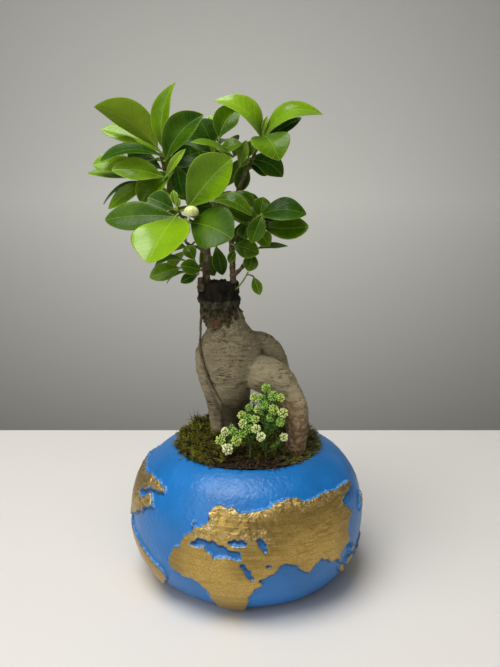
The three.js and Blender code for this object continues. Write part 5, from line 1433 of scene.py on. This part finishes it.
class BONSAI_OT_soil(bpy.types.Operator):
    """Gives the soil its finish"""

    bl_idname = "bonsai.soil"
    bl_label = "Soil"

    def execute(self, context):
        paint = Paint("dark_soil")
        crumbs = paint.noise(420, 6, 0.7)
        darkest, middling, lightest = (0.015, 0.01, 0.006), (0.05, 0.032, 0.018), (0.12, 0.08, 0.045)
        colour = paint.ramp(crumbs, [(0.35, darkest), (0.55, middling), (0.72, lightest)])
        paint.surface(Base_Color=colour, Roughness=0.95, Normal=paint.bump(crumbs, 0.0015))
        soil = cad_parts["soil"]
        soil.data.materials.clear()
        soil.data.materials.append(paint.material)
        return {"FINISHED"}


def moss_height(x, y):
    """A mound that rises to the back as a smooth step and slopes down to the right, plus rolling tufts: a
    product of two waves."""
    mound = 2.2 * np.tanh((y + 10) / 16) - 0.02 * x
    tufts = 0.9 * np.sin(0.55 * x + 1.3 * np.sin(0.23 * y)) * np.cos(0.48 * y + 0.7)
    return MOSS_CROWN + mound + tufts


def moss_bed(x, y):
    """The cushion's surface: the mound plus small cushions, drawn down to the pot's lip at its edge."""
    flat = np.stack([x, y, 0 * x], axis=-1)
    edge = rise(np.hypot(x, y), 40, MOSS_RADIUS)
    open_height = moss_height(x, y) + 1.1 * ripples(flat, 11, 51) + 0.5 * ripples(flat, 4, 52)
    return open_height * (1 - edge) + (MOSS_LIP + 0.4 * ripples(flat, 6, 55)) * edge


def moss_greenness(points):
    """1 where the moss is fresh, 0 where brown fibre shows: mostly at the middle of the front."""
    x, y = points[..., 0], points[..., 1]
    return rise(0.05 * (y + 24) + 0.0012 * (x - 2) ** 2 + 0.45 * ripples(points, 15, 53), -0.5, 0.7)


def spikes(base, direction, length, width):
    """Thin three-cornered spikes, each a closed skin of four triangles. Gives points and triangles."""
    side = unit(np.cross(direction, np.array([0.3, 0.2, 1.0])))
    other = np.cross(direction, side)
    foot = base[:, None] + all_round(side, other, 3) * width[:, None, None]
    points = np.concatenate([foot, (base + direction * length[:, None])[:, None]], axis=1)
    corners = np.array([[0, 2, 1], [0, 1, 3], [1, 2, 3], [2, 0, 3]])
    triangles = np.arange(len(base))[:, None, None] * 4 + corners
    return points, triangles


def add_fronds(shape, foot, direction, bend, length, hue, random):
    """Feathery fronds: a bending row of short spikes is the stem, and leaflets stand off it on both sides
    in turn. A point of the stem is foot + direction s + bend s^2/length at the run s."""
    count = len(foot)
    s = (np.arange(STEM_SPIKES) / STEM_SPIKES)[None, :, None] * length[:, None, None]
    joint = foot[:, None] + direction[:, None] * s + bend[:, None] * s**2 / length[:, None, None]
    heading = unit(direction[:, None] + 2 * bend[:, None] * s / length[:, None, None])
    many = count * STEM_SPIKES
    run = np.repeat(length / STEM_SPIKES * 1.25, STEM_SPIKES)
    points, triangles = spikes(joint.reshape(many, 3), heading.reshape(many, 3), run, np.full(many, 0.17))
    shape.add(points, triangles=triangles, hue=np.repeat(hue, 4 * STEM_SPIKES), tip=0.15)
    share = np.linspace(0.1, 1.0, LEAFLETS)[None, :]
    s = share[..., None] * length[:, None, None]
    base = foot[:, None] + direction[:, None] * s + bend[:, None] * s**2 / length[:, None, None]
    travel = unit(direction[:, None] + 2 * bend[:, None] * share[..., None])
    sideways = unit(np.cross(travel, direction[:, None] + np.array([0.1, 0.2, 0.9])))
    turn = np.where(np.arange(LEAFLETS) % 2, 1, -1)[None, :, None]
    leaflet = unit(travel * 0.75 + sideways * turn + random.normal(0, 0.25, base.shape))
    size = (2.0 - 1.0 * share) * random.uniform(0.65, 1.25, base.shape[:2])
    many = count * LEAFLETS
    points, triangles = spikes(
        base.reshape(many, 3), leaflet.reshape(many, 3), size.ravel(), 0.10 + 0.09 * size.ravel()
    )
    # A leaflet's tip value sets its painted shade at the foot and its painted light at the end
    tip = np.repeat(np.tile(share[0], count), 4).reshape(many, 4)
    tip[:, 3] = 1.0
    shape.add(points, triangles=triangles, hue=np.repeat(hue, 4 * LEAFLETS), tip=tip.ravel())


def moss_bed_shape():
    """A closed cushion whose top is the moss bed."""
    shape = Shape("hue", "tip")
    underside = np.array(BED_UNDERSIDE)
    radius = np.concatenate([np.linspace(0.6, 44.5, BED_RINGS), BED_RIM, underside[:, 0]])
    angle = np.arange(BED_SIDES) * TURN / BED_SIDES
    x, y = radius[:, None] * np.cos(angle), radius[:, None] * np.sin(angle)
    z = moss_bed(x, y) - 0.3
    z[-len(underside):] = underside[:, 1:]
    points = np.stack([x, y, z], axis=-1)
    # The bed's low tip value gives it painted shade
    shape.add_skin(points[::-1], hue=moss_greenness(points)[::-1] * 0.6, tip=0.2)
    return shape


def moss_fronds_shape(settings, seed):
    """Fronds strewn evenly over the cushion. Near its edge they lean out over the lip of the pot."""
    random = np.random.default_rng(seed)
    count = settings.fronds
    reach = 46.0 * np.sqrt(random.uniform(0, 1, count))
    bearing = random.uniform(0, TURN, count)
    x, y = reach * np.cos(bearing), reach * np.sin(bearing)
    foot = np.stack([x, y, moss_bed(x, y) - 0.6], axis=-1)
    outward = np.stack([np.cos(bearing), np.sin(bearing)], axis=-1)
    heading = random.uniform(0, TURN, count)
    level = np.stack([np.cos(heading), np.sin(heading)], axis=-1)
    level = level + rise(reach, 36, 46)[:, None] * outward * 0.9
    level = np.concatenate([unit(level), np.zeros((count, 1))], axis=1)
    lean = random.uniform(0.15, 1.25, count)
    direction = level * np.sin(lean)[:, None] + np.array([0, 0, 1]) * np.cos(lean)[:, None]
    near_edge = rise(reach, 38, 46)
    length = settings.frond_length / MM * random.uniform(0.5, 1.1, count) * (1 - 0.35 * near_edge)
    bend = 0.35 * level - np.array([0, 0, 1]) * (0.25 + 0.25 * near_edge)[:, None]
    hue = np.clip(moss_greenness(foot) + random.normal(0, 0.17, count), 0, 1)
    shape = Shape("hue", "tip")
    add_fronds(shape, foot, direction, bend, length, hue, random)
    return shape


# Taller tufts: [x, depth, count, height]
TUFTS = [[-34, 14, 11, 18], [-29, 20, 6, 11], [39, 6, 5, 7], [31, 24, 7, 9], [-41, -4, 5, 8], [-10, 34, 6, 9]]


def tufts_shape(seed):
    """Upright grassy tufts: each blade is a thin spike that leans away from the middle of its tuft."""
    random = np.random.default_rng(seed)
    shape = Shape("hue", "tip")
    for x, y, count, tall in TUFTS:
        offset = random.normal(0, 1.6, (count, 2))
        spot = np.array([x, y]) + offset
        foot = np.stack([spot[:, 0], spot[:, 1], moss_bed(spot[:, 0], spot[:, 1]) - 0.5], axis=-1)
        aside = offset * 0.09 + random.normal(0, 0.14, (count, 2))
        lean = np.concatenate([aside, np.ones((count, 1))], axis=1)
        points, triangles = spikes(
            foot, unit(lean), tall * random.uniform(0.4, 1.0, count), random.uniform(0.4, 0.65, count)
        )
        # A blade's tip values give painted shade at its foot and painted light at its point
        shape.add(points, triangles=triangles, hue=0.95, tip=np.tile([0.1, 0.1, 0.1, 0.6], count))
    return shape


def moss_paint(settings):
    """Fresh green or dry brown by the point's hue, with painted shade between clumps and low in the fronds,
    painted light at their tips, and a little grey on the right."""
    paint = Paint("moss_green")
    hue, tip = paint.attribute("hue"), paint.attribute("tip")
    cloud = paint.noise(150, 4, 0.6)
    clumps = paint.step(paint.noise(230, 3, 0.6), 0.36, 0.66)
    colour = paint.mix(paint.step(hue + (cloud - 0.5) * 0.6, 0.25, 0.6), settings.dry, settings.green)
    # Painted shade between clumps
    colour = paint.mix(clumps, shade(settings.dry, 0.25), colour)
    # Painted shade and light: the colour is multiplied from 0.05 at the foot to 2 at the tip
    bright = paint.mix(tip, (0.05, 0.05, 0.05), (2.0, 2.0, 1.6))
    colour = paint.mix(1.0, colour, bright, "MULTIPLY")
    across = paint.axis(0)
    colour = paint.mix(paint.step(across, 0.012, 0.032) * 0.3, colour, (0.16, 0.16, 0.10))
    return paint.surface(Base_Color=colour, Roughness=0.8, Normal=paint.bump(cloud, 0.0008, 0.6))


class BONSAI_OT_moss(bpy.types.Operator):
    """Makes the mossy cushion in the mouth of the pot"""

    bl_idname = "bonsai.moss"
    bl_label = "Moss"

    def execute(self, context):
        settings = context.scene.bonsai_moss
        paint = moss_paint(settings)
        piece("moss_bed", moss_bed_shape().mesh("moss_bed"), paint, "moss_cushion", "moss")
        for index, seed in enumerate((5, 6), start=1):
            name = f"moss_fronds_{index}"
            piece(name, moss_fronds_shape(settings, seed).mesh(name), paint, "moss_cushion")
        piece("moss_tufts", tufts_shape(7).mesh("moss_tufts"), paint, "moss_cushion")
        return {"FINISHED"}


# The flower sprigs

# Heads: [x, height, depth, radius, paleness from 0, green, to 1, cream]
SPRIGS = {
    "sprig_right": {
        "crown": [12, 70.5, -33],
        "heads": [
            [11.8, 122.4, -29, 2.6, 0.25], [8.6, 115.7, -29, 2.3, 0.2], [16.6, 117, -33, 2.8, 0.2],
            [21.4, 116, -35, 2.2, 0.45], [10.7, 111, -32, 2.5, 0.15], [16.7, 108, -34, 3, 0.45],
            [22.7, 105.6, -36, 2.8, 0.7], [14.8, 102.6, -33, 2.4, 0.15], [21.3, 99.6, -36, 2.6, 0.25],
            [23.5, 88.9, -36, 2.4, 0.85], [12.6, 116, -27, 1.9, 0.8], [8.5, 89.3, -37, 2.6, 0.9],
            [9.9, 106.4, -28, 2.2, 0.2],
        ],
    },
    "sprig_middle": {
        "crown": [1, 70, -34],
        "heads": [
            [4.3, 116, -25, 2.6, 0.5], [1, 109, -26, 2.3, 0.2], [6.2, 108, -28, 2.2, 0.6],
            [-3.8, 104.2, -28, 2.6, 0.5], [0.2, 102, -30, 2.7, 0.15], [4.7, 101.3, -31, 2.5, 0.55],
            [-3, 98.3, -32, 2.7, 0.7], [0.7, 94.9, -33, 2.5, 0.15], [5.2, 94.9, -34, 2.6, 0.85],
            [-3.5, 91.5, -34, 2.4, 0.2],
        ],
    },
    "sprig_left": {
        "crown": [-10, 70, -34],
        "heads": [
            [-14.6, 92.7, -32, 2.7, 0.85], [-8.9, 92.7, -33, 2.5, 0.2], [-17.9, 87.1, -34, 2.8, 0.5],
            [-7.6, 86.7, -36, 2.9, 0.5], [-13.4, 81, -38, 3.3, 1.0], [-10.5, 96.2, -30, 1.5, 0.2],
        ],
    },
}
# How far below its head a stalk leaves the stem, as a share of the stem
STALK_DROP = 0.25
STALK_SIDES = 6
NEEDLES = 80
# A floret's profile of [radius, height] and how much of a tip each ring is, which sets its painted shade and
# painted light. Its sides stand out in turn by the petals' widths once it opens.
FLORET_PROFILE = [[0.12, -0.7], [0.3, 0], [0.46, 0.5], [0.4, 1.0], [0.06, 1.4]]
FLORET_TIP = [0, 0.25, 0.5, 0.8, 1]
PETAL_WIDTHS = [0.6, 1.3, 0.6, 1.3, 0.6, 1.3]
# The ball on which the florets stand, as a share of the head's radius, and the steps of its surface
CORE = 0.66
CORE_RINGS = 10
CORE_SIDES = 14


def add_head(shape, centre, radius, pale, florets, seed):
    """A flower head: florets stand on a ball, each a small turned bud, at the points of a sunflower spiral
    on a sphere whose direction turns by the golden angle as its height falls evenly."""
    random = np.random.default_rng(seed)
    index = np.arange(florets) + 0.5
    height = 1 - 2 * index / florets
    around = index * math.radians(GOLDEN_ANGLE)
    level = np.sqrt(1 - height**2)
    out = np.stack([level * np.cos(around), level * np.sin(around), height], axis=-1)
    out = unit(out + random.normal(0, 0.17, out.shape))
    side = unit(np.cross(out, np.array([0.31, 0.52, 0.79])))
    other = np.cross(out, side)
    profile = np.array(FLORET_PROFILE)
    size = 0.29 * radius * random.uniform(0.6, 1.5, florets)
    petals = all_round(side, other, len(PETAL_WIDTHS))
    reach = profile[:, 0] * size[:, None]
    open_share = rise(profile[:, 1], 0.2, 0.8)[:, None]
    star = 1 + (np.array(PETAL_WIDTHS) - 1) * open_share
    rings = (
        centre
        + out[:, None, None] * (CORE * radius + profile[:, 1] * size[:, None])[..., None, None]
        + petals[:, None] * (reach[..., None] * star)[..., None]
    )
    hue = np.clip(pale + random.normal(0, 0.08, florets), 0, 1)
    tip = np.array(FLORET_TIP)[:, None]
    for floret in range(florets):
        shape.add_skin(rings[floret], pale=hue[floret], tip=tip)
    ball = np.linspace(-1, 1, CORE_RINGS)[:, None]
    turn = np.arange(CORE_SIDES) * TURN / CORE_SIDES
    belt = np.sqrt(np.maximum(1 - ball**2, 0.02))
    core = np.stack([belt * np.cos(turn), belt * np.sin(turn), ball + 0 * turn], axis=-1)
    # The ball under the florets, painted dark by its low tip value as the shade between them
    shape.add_skin(centre + CORE * radius * core, pale=pale * 0.6, tip=0.15)


def sprig_shape(plan, settings, seed):
    """A stem from the crown to the highest head, a bowed stalk to each other head, which leaves the stem a
    little below that head, and needles strewn along all of them."""
    shape = Shape("pale", "tip", "stem")
    crown = plan["crown"]
    foot = place(*crown)[0]
    heads = np.array(plan["heads"])
    centres = place(heads[:, 0], heads[:, 1], heads[:, 2])
    top = centres[0]
    random = np.random.default_rng(seed)
    for index, centre in enumerate(centres):
        share = np.clip((centre[2] - foot[2]) / (top[2] - foot[2]) - STALK_DROP, 0, 1) if index else 0
        start = foot + (top - foot) * share
        middle = (start + centre) / 2 + np.array([0, 0, -0.06]) * np.linalg.norm(centre - start)
        middle = middle + random.normal(0, 0.25, 3)
        path = smooth_path([start, middle, centre], 16)
        _, side, other = carried_sides(path)
        radius = np.linspace(0.55, 0.35, len(path))[:, None, None] * (1.1 if index == 0 else 0.7)
        skin = path[:, None] + all_round(side, other, STALK_SIDES) * radius
        shape.add_skin(skin, stem=1.0, pale=0.3)
        spot = path[random.integers(5, len(path) - 1, NEEDLES)]
        lean = unit(random.normal(0, 0.8, (NEEDLES, 3)) + np.array([0, 0, 0.7]))
        points, triangles = spikes(spot, lean, random.uniform(2.0, 4.8, NEEDLES), np.full(NEEDLES, 0.3))
        shape.add(points, triangles=triangles, stem=0.7, pale=0.0, tip=np.tile([0, 0, 0, 1.0], NEEDLES))
    for index, (centre, head) in enumerate(zip(centres, heads)):
        add_head(shape, centre, head[3], head[4], settings.florets, 50 * seed + index)
    return shape


def flower_paint(settings):
    """Green to cream by the head's paleness, with painted shade between florets and painted light at their
    tips, on green stalks.
    """
    paint = Paint("dried_flowers")
    pale, tip, stem = paint.attribute("pale"), paint.attribute("tip"), paint.attribute("stem")
    cloud = paint.noise(700, 3)
    yellow = (0.56, 0.70, 0.08)
    colour = paint.ramp(pale, [(0.1, settings.green), (0.5, yellow), (0.95, settings.cream)])
    # Painted shade between florets and painted light on their tips
    light = paint.mix(paint.step(tip, 0.05, 0.8), (0.24, 0.36, 0.16), (1.1, 1.1, 1.05))
    colour = paint.mix(1.0, colour, light, "MULTIPLY")
    tips = paint.mix(pale, (0.42, 0.62, 0.24), (1.0, 0.97, 0.74))
    colour = paint.mix(paint.step(tip, 0.7, 1.0) * 0.65, colour, tips)
    stalk = paint.mix(cloud, (0.02, 0.05, 0.012), (0.09, 0.18, 0.025))
    colour = paint.mix(stem, colour, stalk)
    return paint.surface(Base_Color=colour, Roughness=0.7, Normal=paint.bump(cloud, 0.0003, 0.5))


class BONSAI_OT_sprigs(bpy.types.Operator):
    """Makes the three sprigs of ball-shaped flowers"""

    bl_idname = "bonsai.sprigs"
    bl_label = "Flower Sprigs"

    def execute(self, context):
        settings = context.scene.bonsai_flower
        paint = flower_paint(settings)
        for seed, (node, plan) in enumerate(SPRIGS.items(), start=71):
            name = node.replace("sprig", "flowers")
            piece(name, sprig_shape(plan, settings, seed).mesh(name), paint, "flower", node)
        return {"FINISHED"}


# The stage

# Corners of the floor and the backdrop, in metres
FLOOR_CORNERS = [(-3, -3, 0), (3, -3, 0), (3, 0.257, 0), (-3, 0.257, 0)]
BACKDROP_CORNERS = [(-4, 1.3, -2), (4, 1.3, -2), (4, 1.3, 3), (-4, 1.3, 3)]
# The point that all lights face
AIM = (0, 0, 0.14)
# Strength of the light that comes from all sides
SOFT_LIGHT = 0.16
# Lights: name, place, diameter, power, colour
LIGHTS = [
    ("overhead", (-0.3, -0.3, 1.35), 0.9, 17.5, (1.0, 0.985, 0.95)),
    ("window", (-1.0, -1.25, 0.95), 1.6, 10.0, (1.0, 0.99, 0.97)),
    ("fill", (1.3, -1.2, 0.7), 1.2, 0.3, (1.0, 0.99, 0.97)),
]


def flat_sheet(name, corners, paint):
    """A four-cornered sheet of the stage."""
    mesh = bpy.data.meshes.new(name)
    mesh.from_pydata(corners, [], [(0, 1, 2, 3)])
    mesh.update()
    mesh.materials.append(paint.material)
    sheet = bpy.data.objects.new(name, mesh)
    bpy.context.scene.collection.objects.link(sheet)


def backdrop_paint(settings):
    """A plain colour with a painted glow that stands in for the light falling on it, brightest at mid-height
    and strongest behind the plant.
    """
    paint = Paint("backdrop_painted_glow")
    across = paint.axis(0)
    height = paint.axis(2)
    shares = [(0.0, 0.2), (0.55, 0.9), (1.0, 0.45)]
    stops = [(position, shade(settings.backdrop, share)) for position, share in shares]
    # Painted light: the glow is strongest behind the plant and at mid-height
    spread = 1.42 - paint.step(abs(across + 0.05), 0, 1.2) * 1.08
    glow = paint.mix(1.0, paint.ramp((height + 0.4) / 1.1, stops), spread, "MULTIPLY")
    return paint.surface(
        Base_Color=opaque(settings.backdrop), Roughness=0.9, Emission_Color=glow, Emission_Strength=1.0
    )


def add_lights(scene):
    """Round area lights that face the plant, and a soft light from all sides."""
    for name, spot, size, power, colour in LIGHTS:
        light = bpy.data.lights.new(name, "AREA")
        light.shape = "DISK"
        light.size = size
        light.energy = power
        light.color = colour
        lamp = bpy.data.objects.new(name, light)
        lamp.location = spot
        lamp.rotation_euler = (Vector(AIM) - Vector(spot)).to_track_quat("-Z", "Y").to_euler()
        scene.collection.objects.link(lamp)
    world = bpy.data.worlds.new("soft_light")
    world.use_nodes = True
    background = world.node_tree.nodes["Background"]
    background.inputs["Color"].default_value = (1.0, 0.99, 0.97, 1.0)
    background.inputs["Strength"].default_value = SOFT_LIGHT
    scene.world = world


def add_camera(scene, settings):
    """The camera at the eye, level from side to side and looking down by the pitch."""
    camera = bpy.data.cameras.new("camera")
    camera.sensor_width = 36
    camera.lens = settings.lens
    camera.clip_start = 0.02
    viewer = bpy.data.objects.new("camera", camera)
    viewer.location = (EYE_X * MM, -EYE_DISTANCE * MM, EYE_HEIGHT * MM)
    viewer.rotation_euler = (math.pi / 2 - settings.pitch, 0, 0)
    scene.collection.objects.link(viewer)
    scene.camera = viewer


class BONSAI_OT_stage(bpy.types.Operator):
    """Sets the floor, the backdrop, the soft lights and the camera"""

    bl_idname = "bonsai.stage"
    bl_label = "Stage"

    def execute(self, context):
        settings = context.scene.bonsai_stage
        scene = context.scene
        pale = Paint("pale_floor").surface(Base_Color=opaque(settings.floor), Roughness=0.55)
        flat_sheet("floor", FLOOR_CORNERS, pale)
        flat_sheet("backdrop", BACKDROP_CORNERS, backdrop_paint(settings))
        add_lights(scene)
        scene.view_settings.view_transform = "Standard"
        add_camera(scene, settings)
        return {"FINISHED"}


# The add-on


class BONSAI_PT_pieces(bpy.types.Panel):
    """Lists the pieces of the bonsai"""

    bl_label = "Bonsai"
    bl_idname = "BONSAI_PT_pieces"
    bl_space_type = "VIEW_3D"
    bl_region_type = "UI"
    bl_category = "Bonsai"

    def draw(self, context):
        for operator in OPERATORS:
            self.layout.operator(operator.bl_idname)
        for name, group in SETTINGS.items():
            box = self.layout.box()
            box.label(text=group.__doc__)
            for key in group.__annotations__:
                box.prop(getattr(context.scene, name), key)


SETTINGS = {
    "bonsai_pot": BonsaiPotSettings,
    "bonsai_rootstock": BonsaiRootstockSettings,
    "bonsai_leaf": BonsaiLeafSettings,
    "bonsai_moss": BonsaiMossSettings,
    "bonsai_flower": BonsaiFlowerSettings,
    "bonsai_stage": BonsaiStageSettings,
}
OPERATORS = [
    BONSAI_OT_pot, BONSAI_OT_soil, BONSAI_OT_rootstock, BONSAI_OT_shoots, BONSAI_OT_sprout, BONSAI_OT_fig,
    BONSAI_OT_moss, BONSAI_OT_sprigs, BONSAI_OT_stage,
]


def register():
    for name, group in SETTINGS.items():
        bpy.utils.register_class(group)
        setattr(bpy.types.Scene, name, PointerProperty(type=group))
    for part in [*OPERATORS, BONSAI_PT_pieces]:
        bpy.utils.register_class(part)


def unregister():
    for part in reversed([*OPERATORS, BONSAI_PT_pieces]):
        bpy.utils.unregister_class(part)
    for name, group in SETTINGS.items():
        delattr(bpy.types.Scene, name)
        bpy.utils.unregister_class(group)


def main():
    register()
    bpy.ops.bonsai.pot()
    bpy.ops.bonsai.soil()
    bpy.ops.bonsai.rootstock()
    bpy.ops.bonsai.shoots()
    bpy.ops.bonsai.sprout()
    bpy.ops.bonsai.fig()
    bpy.ops.bonsai.moss()
    bpy.ops.bonsai.sprigs()
    bpy.ops.bonsai.stage()


if __name__ == "__main__":
    main()
